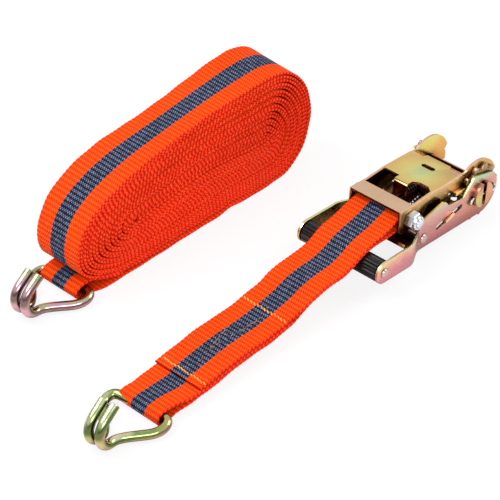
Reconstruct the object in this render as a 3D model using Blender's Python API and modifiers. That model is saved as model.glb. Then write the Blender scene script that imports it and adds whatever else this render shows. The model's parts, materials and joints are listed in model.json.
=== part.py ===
"""Ratchet tie down: ratchet buckle with a short hooked strap, and a long hooked strap wound in a roll.

Metres, +Z up. X runs along the straps, from the hooks to the ratchet wheels. The buckle lies
upside down with its handle closed underneath. Buckle pieces are drawn in the buckle's own axes:
x along the base away from the strap, y across, z towards the base's floor plate, with the spool's
axis at the origin. "Near" is the -y side and "far" the +y side.
"""

import math

import bmesh
import bpy
import numpy as np
from mathutils import Matrix, Vector

MM = 0.001

# ---------------------------------------------------------------- driving dimensions, millimetres
OFFSET = (33.76, 8.55, 0.0)  # centres the whole layout on the origin in x and y
AXLE = (165.7, -78.1, 26.2)  # spool axis, before OFFSET
BUCKLE_PITCH = math.radians(4.5)  # the buckle leans down towards its wheels

WEB_HALF = 24.3  # half the webbing's width
WEB_T = 2.4  # webbing thickness
SHEET = 2.2  # thickness of the stamped steel
HOLE_GAP = 0.3  # clearance around bolts, pins and hook wires

BASE_IN = 24.7  # half the clear width inside the base's side walls
BASE_OUT = BASE_IN + SHEET
BASE_END = -102.3
BASE_TOP = 23.6  # outer face of the floor plate
BRIDGE_TOP = 21.4
FLOOR_HALF = 26.8  # the floor plates stop just inside the walls' outer faces
TONGUE_Y = (-5.0, 9.0)
CAM_R = 29.0  # outer contour of the base's ears
EAR_R = 21.5  # inner contour, clear of the drive pawl
BOLT = (-88.5, 10.0)  # x, z
BOLT_R = 4.0

WHEEL_IN, WHEEL_OUT = 27.3, 30.9
TOOTH_COUNT = 12
TIP_R, ROOT_R = 26.0, 21.4
TOOTH_START = 156.3  # degrees, root of a steep flank

SPOOL_AXIS = (0.0, 0.0)
SPOOL_R = 11.5
SPOOL_GAP = 2.4  # half the slot between the two bars
SPOOL_HALF = 37.4
BORE_R = SPOOL_R + 0.35
COTTER_Y = 35.2

HANDLE_IN = 31.4
HANDLE_OUT = HANDLE_IN + SHEET
JOG_START, JOG_END, JOG = -79.0, -103.0, 9.2  # the handle plates widen by JOG between these x
GRIP = (-136.6, -13.0)
GRIP_R = 9.6
GRIP_HALF = 39.3
RIB_DEPTH = 0.9
GRIP_PIN_R = 3.0
SPACER = (-75.7, -12.2)
SPACER_R = 2.5

PAWL_T = 3.0
PAWL_HALF = WHEEL_OUT
DRIVE_DIR = math.radians(194.0)  # way the drive pawl is pulled, in the x-z plane
DRIVE_TIP = (-22.6, -0.5)  # tip when it is in the wheel
DRIVE_REST = 3.9  # how far it stands back from there with the handle closed
LOCK_Z = 10.5
LOCK_Y = 2.0  # centre line of the lock pawl's tail
LOCK_TAIL_HALF = 2.0
LOCK_SLOT_HALF = 1.9  # half height of the slots the lock pawl slides in
SPRING_WIRE_R = 0.55

WIRE_R = 4.0
HOOK_A = (-202.0, -77.4, 6.8)  # bar of the short strap's hook
HOOK_A_YAW = math.radians(7.0)
HOOK_B = (-137.0, 74.7, 6.8)  # bar of the long strap's hook
HOOK_B_YAW = math.radians(5.0)

LOOP_HALF = 21.3  # half the webbing's width inside the hook
LOOP_A = 3.8  # half the straight part of the short strap's loop, as the bar lies askew in it
LOOP_B = 3.0  # the same for the long strap
LOOP_R = WIRE_R + HOLE_GAP + WEB_T
BOLT_LOOP_R = BOLT_R + HOLE_GAP + WEB_T

ROLL_Y = 74.7
ROLL_LEFT = (-93.0, 49.0, 49.0)  # centre x, centre z, radius
ROLL_RIGHT = (79.0, 55.2, 55.2)

SIDES = ((-1, "near"), (1, "far"))

# ---------------------------------------------------------------- scene
for old in list(bpy.data.objects):
    bpy.data.objects.remove(old, do_unlink=True)

PARTS = bpy.data.collections.new("ratchet_tie_down")
bpy.context.scene.collection.children.link(PARTS)


def empty(name, location, parent=None):
    """An empty at a place in millimetres."""
    made = bpy.data.objects.new(name, None)
    made.location = Vector([v * MM for v in location])
    made.parent = parent
    bpy.context.scene.collection.objects.link(made)
    return made


LAYOUT = empty("layout", OFFSET)
BUCKLE = empty("spool_axis", AXLE, LAYOUT)
BUCKLE.rotation_euler = (0.0, BUCKLE_PITCH, 0.0)


# ---------------------------------------------------------------- materials
def material(name, colour, roughness, metallic):
    made = bpy.data.materials.new(name)
    made.use_nodes = True
    shader = made.node_tree.nodes["Principled BSDF"]
    shader.inputs["Base Color"].default_value = (*colour, 1.0)
    shader.inputs["Roughness"].default_value = roughness
    shader.inputs["Metallic"].default_value = metallic
    return made


def zinc(name):
    """Yellow zinc plating."""
    return material(name, colour=(0.78, 0.62, 0.36), roughness=0.32, metallic=1.0)


def steel(name, roughness=0.3):
    return material(name, colour=(0.75, 0.76, 0.78), roughness=roughness, metallic=1.0)


def webbing(name):
    return material(name, colour=(0.88, 0.12, 0.02), roughness=0.8, metallic=0.0)


def black_plastic(name):
    return material(name, colour=(0.02, 0.02, 0.02), roughness=0.45, metallic=0.0)


# ---------------------------------------------------------------- outlines
def polar(centre, radius, degrees):
    angle = math.radians(degrees)
    return (centre[0] + radius * math.cos(angle), centre[1] + radius * math.sin(angle))


def arc(centre, radius, start, end, steps):
    """Points on an arc, angles in degrees, both ends included."""
    return [polar(centre, radius, start + (end - start) * i / steps) for i in range(steps + 1)]


def circle(centre, radius, count, start=0.0):
    """A closed outline of count points."""
    return arc(centre, radius, start, start + 360 - 360 / count, count - 1)


def half_disc(radius, half_gap, middle, steps):
    """A disc's part beyond a chord half_gap from the spool axis, facing middle degrees."""
    flat = math.degrees(math.asin(half_gap / radius))
    return arc(SPOOL_AXIS, radius, middle - 90 + flat, middle + 90 - flat, steps)


def rectangle(x_low, y_low, x_high, y_high):
    return [(x_low, y_low), (x_high, y_low), (x_high, y_high), (x_low, y_high)]


def rounded(corners, steps=4):
    """A closed outline from rows of x, y, corner radius, with each corner turned into an arc."""
    out = []
    places = [np.array(corner[:2], float) for corner in corners]
    for i, here in enumerate(places):
        radius = corners[i][2]
        before = places[i - 1] - here
        after = places[(i + 1) % len(places)] - here
        length_before, length_after = np.linalg.norm(before), np.linalg.norm(after)
        before, after = before / length_before, after / length_after
        turn = math.acos(max(-1.0, min(1.0, float(before @ after))))
        if radius <= 0 or turn > math.pi - 1e-3:
            out.append(tuple(here))
            continue
        reach = min(radius / math.tan(turn / 2), 0.49 * length_before, 0.49 * length_after)
        radius = reach * math.tan(turn / 2)
        bisector = (before + after) / np.linalg.norm(before + after)
        middle = here + bisector * radius / math.sin(turn / 2)
        first = here + before * reach - middle
        last = here + after * reach - middle
        start = math.atan2(first[1], first[0])
        end = math.atan2(last[1], last[0])
        sweep = (end - start + math.pi) % (2 * math.pi) - math.pi
        for k in range(steps + 1):
            angle = start + sweep * k / steps
            out.append((middle[0] + radius * math.cos(angle), middle[1] + radius * math.sin(angle)))
    return out


def strip_outline(path, thickness):
    """The outline of a bent strip, from its centre line and thickness."""
    points = [np.array(p, float) for p in path]
    left, right = [], []
    for i, point in enumerate(points):
        normals = []
        for a, b in ((i - 1, i), (i, i + 1)):
            if 0 <= a and b < len(points):
                step = points[b] - points[a]
                step = step / np.linalg.norm(step)
                normals.append(np.array((-step[1], step[0])))
        normal = sum(normals) / len(normals)
        if len(normals) > 1:
            normal = normal / (normal @ normal)  # mitre
        left.append(tuple(point + normal * thickness / 2))
        right.append(tuple(point - normal * thickness / 2))
    return left + right[::-1]


def smoothstep(t):
    """0 to 1 with flat ends, held outside that range."""
    t = min(1.0, max(0.0, t))
    return t * t * (3 - 2 * t)


# ---------------------------------------------------------------- solids
def evaluated_mesh(source):
    bpy.context.view_layer.update()
    graph = bpy.context.evaluated_depsgraph_get()
    return bpy.data.meshes.new_from_object(source.evaluated_get(graph))


def to_part(source, name, placement=None):
    """Replaces a curve or modified mesh by its evaluated, welded mesh in the parts collection."""
    mesh = evaluated_mesh(source)
    if placement is None:
        placement = source.matrix_world.copy()
    bpy.data.objects.remove(source, do_unlink=True)
    mesh.name = name
    mesh.transform(placement)
    work = bmesh.new()
    work.from_mesh(mesh)
    bmesh.ops.remove_doubles(work, verts=work.verts, dist=2e-6)
    bmesh.ops.recalc_face_normals(work, faces=work.faces)
    work.to_mesh(mesh)
    work.free()
    made = bpy.data.objects.new(name, mesh)
    PARTS.objects.link(made)
    return made


def add_spline(curve, points, cyclic):
    """A polyline through x, y, z points in millimetres."""
    spline = curve.splines.new("POLY")
    spline.points.add(len(points) - 1)
    for point, (x, y, z) in zip(spline.points, points):
        point.co = (x * MM, y * MM, z * MM, 1.0)
    spline.use_cyclic_u = cyclic


def plate(name, outlines, low, high, normal="y"):
    """A flat plate: outlines (the first outside, the rest holes) drawn in millimetres and extruded
    from low to high. normal y draws x-z outlines, normal z draws x-y outlines."""
    curve = bpy.data.curves.new(name, "CURVE")
    curve.dimensions = "2D"
    curve.fill_mode = "BOTH"
    curve.extrude = (high - low) / 2 * MM
    for outline in outlines:
        add_spline(curve, [(x, y, 0.0) for x, y in outline], cyclic=True)
    source = bpy.data.objects.new(name + "_outline", curve)
    bpy.context.scene.collection.objects.link(source)
    middle = (high + low) / 2 * MM
    if normal == "y":
        source.rotation_euler = (math.pi / 2, 0.0, 0.0)
        source.location = (0.0, middle, 0.0)
    else:
        source.location = (0.0, 0.0, middle)
    return to_part(source, name)


def tube(name, points, radius, resolution=3):
    """A round wire along points in millimetres."""
    curve = bpy.data.curves.new(name, "CURVE")
    curve.dimensions = "3D"
    curve.bevel_depth = radius * MM
    curve.bevel_resolution = resolution
    curve.use_fill_caps = True
    add_spline(curve, points, cyclic=False)
    source = bpy.data.objects.new(name + "_path", curve)
    bpy.context.scene.collection.objects.link(source)
    return to_part(source, name)


def turned(name, profile, place, steps):
    """A solid turned about the y direction through place (x, z): profile is (radius, y) down its
    outer side, closed on the axis at both ends."""
    mesh = bpy.data.meshes.new(name)
    points = [(radius * MM, 0.0, y * MM) for radius, y in profile]
    mesh.from_pydata(points, [(i, i + 1) for i in range(len(points) - 1)], [])
    source = bpy.data.objects.new(name + "_profile", mesh)
    bpy.context.scene.collection.objects.link(source)
    screw = source.modifiers.new("turn", "SCREW")
    screw.steps = screw.render_steps = steps
    screw.use_merge_vertices = True
    screw.merge_threshold = 0.00001
    move = Matrix.Translation((place[0] * MM, 0.0, place[1] * MM))
    return to_part(source, name, move @ Matrix.Rotation(-math.pi / 2, 4, "X"))


def join(target, other, operation):
    """Boolean of two mesh objects, applied; the other object is removed."""
    modifier = target.modifiers.new(operation.lower(), "BOOLEAN")
    modifier.operation = operation
    modifier.object = other
    modifier.solver = "EXACT"
    mesh = evaluated_mesh(target)
    target.modifiers.clear()
    old_mesh = target.data
    target.data = mesh
    bpy.data.meshes.remove(old_mesh)
    bpy.data.objects.remove(other, do_unlink=True)
    work = bmesh.new()
    work.from_mesh(mesh)
    bmesh.ops.remove_doubles(work, verts=work.verts, dist=2e-6)
    bmesh.ops.dissolve_degenerate(work, edges=work.edges, dist=2e-6)
    work.to_mesh(mesh)
    work.free()


def finish(made, surface, parent, smooth=35.0):
    """Gives a piece its material, parent and smooth shading up to an angle in degrees."""
    mesh = made.data
    mesh.materials.clear()
    mesh.materials.append(surface)
    mesh.shade_smooth()
    mesh.set_sharp_from_angle(angle=math.radians(smooth))
    made.parent = parent


# ---------------------------------------------------------------- base frame
SPOOL_BORE = circle(SPOOL_AXIS, BORE_R, 40)

# Side wall below and between its ears: x, z, corner radius.
WALL_CORNERS = [
    (BASE_END, BRIDGE_TOP, 0.0), (BASE_END, -1.0, 6.0), (-77.5, -1.0, 5.0), (-66.0, 13.4, 3.0),
    (-49.5, 13.4, 3.0), (-45.5, 5.4, 2.0), (-24.0, 5.4, 2.0),
]
# Main floor plate: x, y, corner radius.
FLOOR_CORNERS = [
    (-21.5, -FLOOR_HALF, 0.0), (-21.5, -14.0, 1.0), (-18.0, -12.5, 1.5), (-18.0, 12.5, 1.5),
    (-21.5, 14.0, 1.0), (-21.5, FLOOR_HALF, 0.0), (-60.0, FLOOR_HALF, 0.0),
    (-60.0, TONGUE_Y[1], 0.8), (-66.4, TONGUE_Y[1], 0.0), (-66.4, TONGUE_Y[0], 0.0),
    (-60.5, TONGUE_Y[0], 0.8), (-56.8, -10.0, 3.0), (-56.8, -19.0, 3.0), (-60.5, -23.8, 0.8),
    (-60.5, -FLOOR_HALF, 0.0),
]
# Tongue bent down from the floor plate: x, z, corner radius.
TONGUE_CORNERS = [
    (-67.4, 6.4, 0.5), (-65.2, 6.4, 0.5), (-65.2, BASE_TOP - 0.2, 0.0),
    (-67.4, BASE_TOP - 1.6, 1.2),
]


def wall_outlines():
    """The side wall with its holes for the spool, the strap bolt and the lock pawl."""
    outside = (
        rounded(WALL_CORNERS)
        + arc(SPOOL_AXIS, EAR_R, 176, 350, 24)
        + arc(SPOOL_AXIS, 25.6, 354, 373, 3)
        + [polar(SPOOL_AXIS, 24.4, 17.5)]
        + arc(SPOOL_AXIS, CAM_R, 24, 125.2, 16)
        + [(-60.5, BASE_TOP), (-82.0, BRIDGE_TOP)]
    )
    slot = rectangle(-38.2, LOCK_Z - LOCK_SLOT_HALF, -19.2, LOCK_Z + LOCK_SLOT_HALF)
    pawl_slot = rounded([(x, z, 0.8) for x, z in slot], 2)
    return [outside, SPOOL_BORE, circle(BOLT, BOLT_R + HOLE_GAP, 24), pawl_slot]


def make_tongue():
    """The tongue, with the hole that takes the lock pawl's tail."""
    tongue = plate("tongue", [rounded(TONGUE_CORNERS, 3)], *TONGUE_Y)
    opening = rectangle(LOCK_Y - 2.4, LOCK_Z - LOCK_SLOT_HALF, LOCK_Y + 2.4, LOCK_Z + LOCK_SLOT_HALF)
    hole = plate("tail_hole", [opening], -3.0, 3.0, "z")
    # The opening is drawn flat as y, z; this turns it to face along x at the tongue.
    hole.data.transform(Matrix(((0, 0, 1, -66.3 * MM), (1, 0, 0, 0), (0, 1, 0, 0), (0, 0, 0, 1))))
    join(tongue, hole, "DIFFERENCE")
    return tongue


def round_floor_edges(base):
    """Rounds the long edges where the floor meets the outside of the walls."""
    def on_fold(place):
        return abs(abs(place.y) - BASE_OUT) < 0.25 and place.z > 20.5

    work = bmesh.new()
    work.from_mesh(base.data)
    picked = []
    for edge in work.edges:
        a, b = (vert.co / MM for vert in edge.verts)
        long_fold = on_fold(a) and on_fold(b) and abs(a.x - b.x) > 3.0
        if long_fold and len(edge.link_faces) == 2 and edge.calc_face_angle(0.0) > 0.6:
            picked.append(edge)
    bmesh.ops.bevel(work, geom=picked, offset=1.6 * MM, segments=3, profile=0.5,
                    affect="EDGES", clamp_overlap=True)
    work.to_mesh(base.data)
    work.free()


def build_base():
    base = plate("base_frame", wall_outlines(), -BASE_OUT, -BASE_IN)
    far_wall = plate("far_wall", wall_outlines(), BASE_IN, BASE_OUT)
    oval = arc((-33.0, 4.3), 2.5, 0, 180, 8) + arc((-33.0, -4.3), 2.5, 180, 360, 8)
    main_plate = plate("main_plate", [rounded(FLOOR_CORNERS, 3), oval],
                       BASE_TOP - SHEET, BASE_TOP, "z")
    bridge = plate("bridge", [rectangle(BASE_END, -FLOOR_HALF, -85.5, FLOOR_HALF)],
                   BRIDGE_TOP - SHEET, BRIDGE_TOP, "z")
    for piece in (far_wall, main_plate, bridge, make_tongue()):
        join(base, piece, "UNION")
    round_floor_edges(base)
    finish(base, zinc("base_zinc"), BUCKLE)


# ---------------------------------------------------------------- strap bolt and nut
def hexagon(name, radius, low, high, turn, low_scale=1.0, high_scale=1.0):
    """A hexagonal prism about the bolt's axis, each end scaled to form a chamfer."""
    made = plate(name, [circle(BOLT, radius, 6, turn)], low, high)
    work = bmesh.new()
    work.from_mesh(made.data)
    bmesh.ops.dissolve_limit(work, angle_limit=0.01, verts=work.verts, edges=work.edges)
    for vert in work.verts:
        scale = low_scale if abs(vert.co.y / MM - low) < 0.01 else high_scale
        vert.co.x = BOLT[0] * MM + (vert.co.x - BOLT[0] * MM) * scale
        vert.co.z = BOLT[1] * MM + (vert.co.z - BOLT[1] * MM) * scale
    work.to_mesh(made.data)
    work.free()
    return made


def build_bolt():
    profile = [(0, 30.6), (BOLT_R, 30.6), (BOLT_R, -37.0), (3.4, -37.7), (0, -37.7)]
    bolt = turned("strap_bolt", profile, BOLT, 24)
    join(bolt, hexagon("head", 7.5, 27.2, 31.6, 14), "UNION")
    join(bolt, hexagon("head_top", 7.5, 31.5, 32.4, 14, high_scale=0.88), "UNION")
    finish(bolt, steel("bolt_steel", roughness=0.25), BUCKLE)


def build_nut():
    """A lock nut: the hexagon, its chamfered end, and the round collar beyond it."""
    nut = hexagon("strap_bolt_nut", 8.1, -33.4, -27.2, 10)
    join(nut, hexagon("nut_crown", 8.1, -34.4, -33.3, 10, low_scale=0.87), "UNION")
    profile = [(0, -33.6), (6.5, -33.6), (6.4, -36.0), (5.9, -36.8), (0, -36.8)]
    join(nut, turned("collar", profile, BOLT, 28), "UNION")
    hole_r = BOLT_R + HOLE_GAP
    thread = turned("thread", [(0, -26.0), (hole_r, -26.0), (hole_r, -38.0), (0, -38.0)], BOLT, 24)
    join(nut, thread, "DIFFERENCE")
    finish(nut, steel("nut_steel", roughness=0.22), BUCKLE)


# ---------------------------------------------------------------- ratchet wheels
# One tooth: degrees from its root, radius.
TOOTH = [
    (0.0, ROOT_R), (4.2, TIP_R - 0.5), (5.0, TIP_R), (8.4, TIP_R),
    (14.0, 24.3), (19.4, ROOT_R + 0.2), (22.0, ROOT_R), (26.0, ROOT_R),
]


def build_wheels():
    """Two toothed wheels, each with a web across its bore that fits the spool's slot."""
    toothed = [
        polar(SPOOL_AXIS, radius, TOOTH_START + index * 360.0 / TOOTH_COUNT + degrees)
        for index in range(TOOTH_COUNT) for degrees, radius in TOOTH
    ]
    holes = [half_disc(BORE_R, SPOOL_GAP - 0.3, middle, 20) for middle in (0, 180)]
    wheel_zinc = zinc("wheel_zinc")
    for side, label in SIDES:
        low, high = sorted((side * WHEEL_IN, side * WHEEL_OUT))
        wheel = plate("ratchet_wheel_" + label, [toothed, *holes], low, high)
        finish(wheel, wheel_zinc, BUCKLE, 25.0)


# ---------------------------------------------------------------- spool bars and cotter pins
def build_spool():
    spool_zinc = zinc("spool_zinc")
    for middle, name in ((0, "spool_half_front"), (180, "spool_half_rear")):
        bar = plate(name, [half_disc(SPOOL_R, SPOOL_GAP, middle, 22)], -SPOOL_HALF, SPOOL_HALF)
        for end in (-1, 1):
            y = end * COTTER_Y
            join(bar, tube("pin_hole", [(-16, y, 0), (16, y, 0)], 1.5), "DIFFERENCE")
        finish(bar, spool_zinc, BUCKLE)


def build_cotter_pins():
    """Each pin is one wire: an open eye, a straight shank through the spool and a bent tail."""
    eye = [polar((15.6, 0.0), 2.6, degrees) for degrees in range(100, -171, -30)]
    shank_and_tail = [(12.2, 0.0), (-12.6, 0.0), (-14.2, -0.8), (-15.0, -2.4), (-15.4, -5.0)]
    for side, label in SIDES:
        name = "cotter_pin_" + label
        path = [(x, side * COTTER_Y, z) for x, z in eye + shank_and_tail]
        finish(tube(name, path, 1.1, 2), steel(name + "_steel", roughness=0.35), BUCKLE)


# ---------------------------------------------------------------- handle
# Handle plate below, from the spool end to the grip: x, z, corner radius.
HANDLE_LOWER = [(-82.0, -21.3, 6.0), (-104.0, -22.6, 6.0), (-136.6, -22.8, 0.0)]
# Handle plate above, from the grip back to the spool end: x, z, corner radius.
HANDLE_UPPER = [
    (-118.0, -2.8, 0.0), (-105.0, -2.6, 4.0), (-88.0, -0.7, 6.0), (-79.2, 6.2, 2.5),
    (-52.6, 13.1, 2.0), (-49.2, 11.8, 1.5), (-44.6, 6.8, 2.0), (-25.4, 5.2, 2.0),
    (-11.2, 20.6, 4.0), (14.0, 15.6, 12.0), (19.9, 12.0, 3.0),
]
# Slot for the drive pawl's ears: distance along the pawl from its engaged tip, distance across.
HANDLE_SLOT = [
    (4.2, -2.2), (37.0, -2.2), (37.9, -1.2), (37.9, 1.2),
    (37.0, 2.2), (4.2, 2.2), (3.2, 1.2), (3.2, -1.2),
]


def from_tip(distance, across=0.0):
    """A point on the drive pawl's line, distance from its engaged tip, in the x-z plane."""
    return (DRIVE_TIP[0] + distance * math.cos(DRIVE_DIR) - across * math.sin(DRIVE_DIR),
            DRIVE_TIP[1] + distance * math.sin(DRIVE_DIR) + across * math.cos(DRIVE_DIR))


def splay(handle, side):
    """Moves the grip end outwards, over cuts that let the plate bend."""
    work = bmesh.new()
    work.from_mesh(handle.data)
    for k in range(9):
        x = JOG_START + (JOG_END - JOG_START) * k / 8
        bmesh.ops.bisect_plane(work, geom=work.verts[:] + work.edges[:] + work.faces[:],
                               dist=1e-7, plane_co=(x * MM, 0, 0), plane_no=(1, 0, 0))
    bmesh.ops.triangulate(work, faces=work.faces)
    for vert in work.verts:
        progress = (JOG_START - vert.co.x / MM) / (JOG_START - JOG_END)
        vert.co.y += side * JOG * smoothstep(progress) * MM
    work.to_mesh(handle.data)
    work.free()


def build_handle_plates():
    outside = (
        rounded(HANDLE_LOWER)
        + arc(GRIP, 9.8, 262, 92, 14)
        + rounded(HANDLE_UPPER)
        + arc((0.5, 0.5), 21.5, 20, -98, 26)
    )
    outlines = [
        outside,
        SPOOL_BORE,
        [from_tip(*point) for point in HANDLE_SLOT],
        circle(SPACER, SPACER_R + HOLE_GAP, 18),
        circle(GRIP, GRIP_PIN_R + HOLE_GAP, 18),
    ]
    handle_zinc = zinc("handle_zinc")
    for side, label in SIDES:
        low, high = sorted((side * HANDLE_IN, side * HANDLE_OUT))
        handle = plate("handle_plate_" + label, outlines, low, high)
        splay(handle, side)
        finish(handle, handle_zinc, BUCKLE)


def build_rivet_pin(name, surface, place, radius, reach, head_radius, head_height):
    """A pin with a domed head just beyond reach on both sides."""
    y = reach + 0.3
    profile = [
        (0, y + head_height), (head_radius * 0.55, y + head_height * 0.94),
        (head_radius * 0.85, y + head_height * 0.62), (head_radius, y), (radius, y),
    ]
    profile += [(r, -v) for r, v in reversed(profile)]
    finish(turned(name, profile, place, 20), surface, BUCKLE)


def build_grip():
    """A plastic sleeve with 18 grooves, one every fourth point."""
    ribs = [polar(GRIP, GRIP_R - (RIB_DEPTH if k % 4 == 2 else 0.0), k * 5.0) for k in range(72)]
    bore = circle(GRIP, GRIP_PIN_R + 0.35, 18)
    grip = plate("grip", [ribs, bore], -GRIP_HALF, GRIP_HALF)
    finish(grip, black_plastic("grip_plastic"), BUCKLE, 20.0)


# ---------------------------------------------------------------- pawls and their springs
# Drive pawl's centre line, x, z: the straight blade, then the bent pull at its end.
DRIVE_PATH = [
    from_tip(DRIVE_REST), from_tip(37.5), (-67.6, -17.4), (-70.2, -18.5),
    (-86.0, -18.5), (-89.0, -17.4), (-97.5, -11.6),
]
# Opening for the drive spring, with a post at one end: distance from the engaged tip, y.
SPRING_WINDOW = [
    (14.0, -5.0), (14.0, -1.6), (24.0, -1.6), (24.0, 1.6),
    (14.0, 1.6), (14.0, 5.0), (49.0, 5.0), (49.0, -5.0),
]
# Lock pawl: a wide blade, a body between the walls, and a narrow tail. x, y.
LOCK_OUTLINE = [
    (-20.2, -PAWL_HALF), (-20.2, PAWL_HALF), (-32.4, PAWL_HALF), (-32.4, 24.2), (-46.0, 24.2),
    (-46.0, LOCK_Y + LOCK_TAIL_HALF), (-74.0, LOCK_Y + LOCK_TAIL_HALF),
    (-74.0, LOCK_Y - LOCK_TAIL_HALF), (-46.0, LOCK_Y - LOCK_TAIL_HALF),
    (-46.0, -24.2), (-32.4, -24.2), (-32.4, -PAWL_HALF),
]


def build_drive_pawl():
    pawl = plate("drive_pawl", [strip_outline(DRIVE_PATH, PAWL_T)], -PAWL_HALF, PAWL_HALF)
    ear_corners = rectangle(15.2, -PAWL_T / 2, 26.8, PAWL_T / 2)
    ears = plate("ears", [[from_tip(*corner) for corner in ear_corners]], -35.6, 35.6)
    join(pawl, ears, "UNION")
    window = plate("spring_window", [SPRING_WINDOW], -5.0, 5.0, "z")
    move = Matrix.Translation((DRIVE_TIP[0] * MM, 0.0, DRIVE_TIP[1] * MM))
    window.data.transform(move @ Matrix.Rotation(-DRIVE_DIR, 4, "Y"))
    join(pawl, window, "DIFFERENCE")
    finish(pawl, zinc("drive_pawl_zinc"), BUCKLE, 30.0)


def build_lock_pawl():
    pawl = plate("lock_pawl", [LOCK_OUTLINE], LOCK_Z - PAWL_T / 2, LOCK_Z + PAWL_T / 2, "z")
    finish(pawl, zinc("lock_pawl_zinc"), BUCKLE, 30.0)


def build_spring(name, surface, start, end, y, mean_radius, turns, steps):
    """A compression spring from start to end (x, z), with steps points to a turn."""
    start = np.array((start[0], y, start[1]), float)
    end = np.array((end[0], y, end[1]), float)
    axis = (end - start) / np.linalg.norm(end - start)
    across = np.array((0.0, 1.0, 0.0))
    other = np.cross(axis, across)
    path = []
    for k in range(turns * steps + 1):
        t = k / (turns * steps)
        angle = 2 * math.pi * turns * t
        spoke = math.cos(angle) * across + math.sin(angle) * other
        path.append(tuple(start + (end - start) * t + mean_radius * spoke))
    finish(tube(name, path, SPRING_WIRE_R, 2), surface, BUCKLE)


# ---------------------------------------------------------------- short strap
BOLT_X = AXLE[0] + BOLT[0] * math.cos(BUCKLE_PITCH) + BOLT[1] * math.sin(BUCKLE_PITCH)
BOLT_Z = AXLE[2] - BOLT[0] * math.sin(BUCKLE_PITCH) + BOLT[1] * math.cos(BUCKLE_PITCH)
STRAP_START = HOOK_A[0] + LOOP_A

# Height of the strap's middle from its hook to its bolt, in layout axes: x, z.
STRAP_MIDDLE = [
    (STRAP_START, HOOK_A[2]), (-184.0, 8.4), (-160.0, 8.7), (-130.0, 8.7), (-98.0, 10.8),
    (-66.0, 15.2), (-40.0, 18.8), (-4.0, 23.0), (12.0, 29.0), (28.5, 37.2), (48.0, 39.6),
    (62.0, 41.6), (BOLT_X, BOLT_Z),
]


def smooth_height(knots, x):
    """A smooth height through (x, z) knots, as a monotone cubic between them."""
    xs, zs = zip(*knots)
    slopes = [(zs[i + 1] - zs[i]) / (xs[i + 1] - xs[i]) for i in range(len(xs) - 1)]
    tangents = [slopes[0]]
    for before, after in zip(slopes, slopes[1:]):
        tangents.append(0.0 if before * after <= 0 else 2 / (1 / before + 1 / after))
    tangents.append(slopes[-1])
    i = max(0, min(len(xs) - 2, sum(x >= v for v in xs) - 1))
    width = xs[i + 1] - xs[i]
    t = (x - xs[i]) / width
    return ((2 * t**3 - 3 * t**2 + 1) * zs[i] + (t**3 - 2 * t**2 + t) * width * tangents[i]
            + (-2 * t**3 + 3 * t**2) * zs[i + 1] + (t**3 - t**2) * width * tangents[i + 1])


def narrow(strap, middle_y, wide_x, narrow_x):
    """Gathers the webbing a little between two places along x, where it enters its hook."""
    middle = middle_y * MM
    for vert in strap.data.vertices:
        t = smoothstep((wide_x - vert.co.x / MM) / (wide_x - narrow_x))
        vert.co.y = middle + (vert.co.y - middle) * (1 + (LOOP_HALF / WEB_HALF - 1) * t)


def bar_hole(hook, half_straight):
    """The opening of a strap's loop around its hook's bar."""
    radius = WIRE_R + HOLE_GAP
    return (arc((hook[0] + half_straight, hook[2]), radius, -90, 90, 10)
            + arc((hook[0] - half_straight, hook[2]), radius, 90, 270, 10))


def build_short_strap():
    """Two layers of webbing that part into a loop around the hook's bar and one on the bolt."""
    axis = empty("strap_bolt_axis", (BOLT_X, AXLE[1], BOLT_Z), LAYOUT)
    flat_half = WEB_T + 0.1
    top, bottom = [], []
    for k in range(61):
        x = STRAP_START + (BOLT_X - STRAP_START) * k / 60
        half = (flat_half
                + (LOOP_R - flat_half) * smoothstep(1 - (x - STRAP_START) / 20.0)
                + (BOLT_LOOP_R - flat_half) * smoothstep(1 - (BOLT_X - x) / 22.0))
        z = smooth_height(STRAP_MIDDLE, x)
        top.append((x, z + half))
        bottom.append((x, z - half))
    outside = (
        top
        + arc((BOLT_X, BOLT_Z), BOLT_LOOP_R, 82, -82, 12)
        + bottom[::-1]
        + arc((HOOK_A[0] - LOOP_A, HOOK_A[2]), LOOP_R, 268, 92, 12)
    )
    bolt_hole = circle((BOLT_X, BOLT_Z), BOLT_R + HOLE_GAP, 24)
    strap = plate("short_strap", [outside, bar_hole(HOOK_A, LOOP_A), bolt_hole],
                  -WEB_HALF, WEB_HALF)
    narrow(strap, 0.0, -172.0, -188.0)
    strap.data.transform(Matrix.Translation((-BOLT_X * MM, 0.0, -BOLT_Z * MM)))
    finish(strap, webbing("short_webbing"), axis)


# ---------------------------------------------------------------- double-J hooks
# Half the bar and one leg, from the middle of the bar: x, y, z.
HOOK_LEG = [
    (0.0, 0.0, 0.0), (0.0, 12.0, 0.0), (0.0, 22.5, 0.0), (-1.0, 25.1, -0.1),
    (-3.6, 27.0, -0.5), (-7.6, 27.9, -1.1), (-12.0, 27.0, -1.8), (-17.0, 23.9, -2.5),
    (-25.0, 16.4, -2.6), (-31.0, 10.7, -2.6), (-35.5, 7.3, -2.6), (-38.5, 5.7, -2.6),
]
BEND_CENTRE = (-41.0, 10.9)  # x, z
BEND_R = 13.5
BEND_END = 121  # degrees
PRONG_Y = 5.2


def hook_path():
    """One wire: prong, bend, leg, bar across, leg, bend, prong. The legs reach towards -x."""
    bend = [polar(BEND_CENTRE, BEND_R, degrees) for degrees in (*range(270, 120, -14), BEND_END)]
    prong = [polar(bend[-1], reach, BEND_END - 90) for reach in (7.0, 14.5)]
    half = HOOK_LEG + [(x, PRONG_Y, z) for x, z in bend + prong]
    other = [(x, -y, z) for x, y, z in half[1:]]
    return other[::-1] + half


def build_hook(name, bar, yaw):
    pivot = empty(name + "_bar", bar, LAYOUT)
    pivot.rotation_euler = (0.0, 0.0, yaw)
    finish(tube(name, hook_path(), WIRE_R), zinc(name + "_zinc"), pivot, 50.0)


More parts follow.
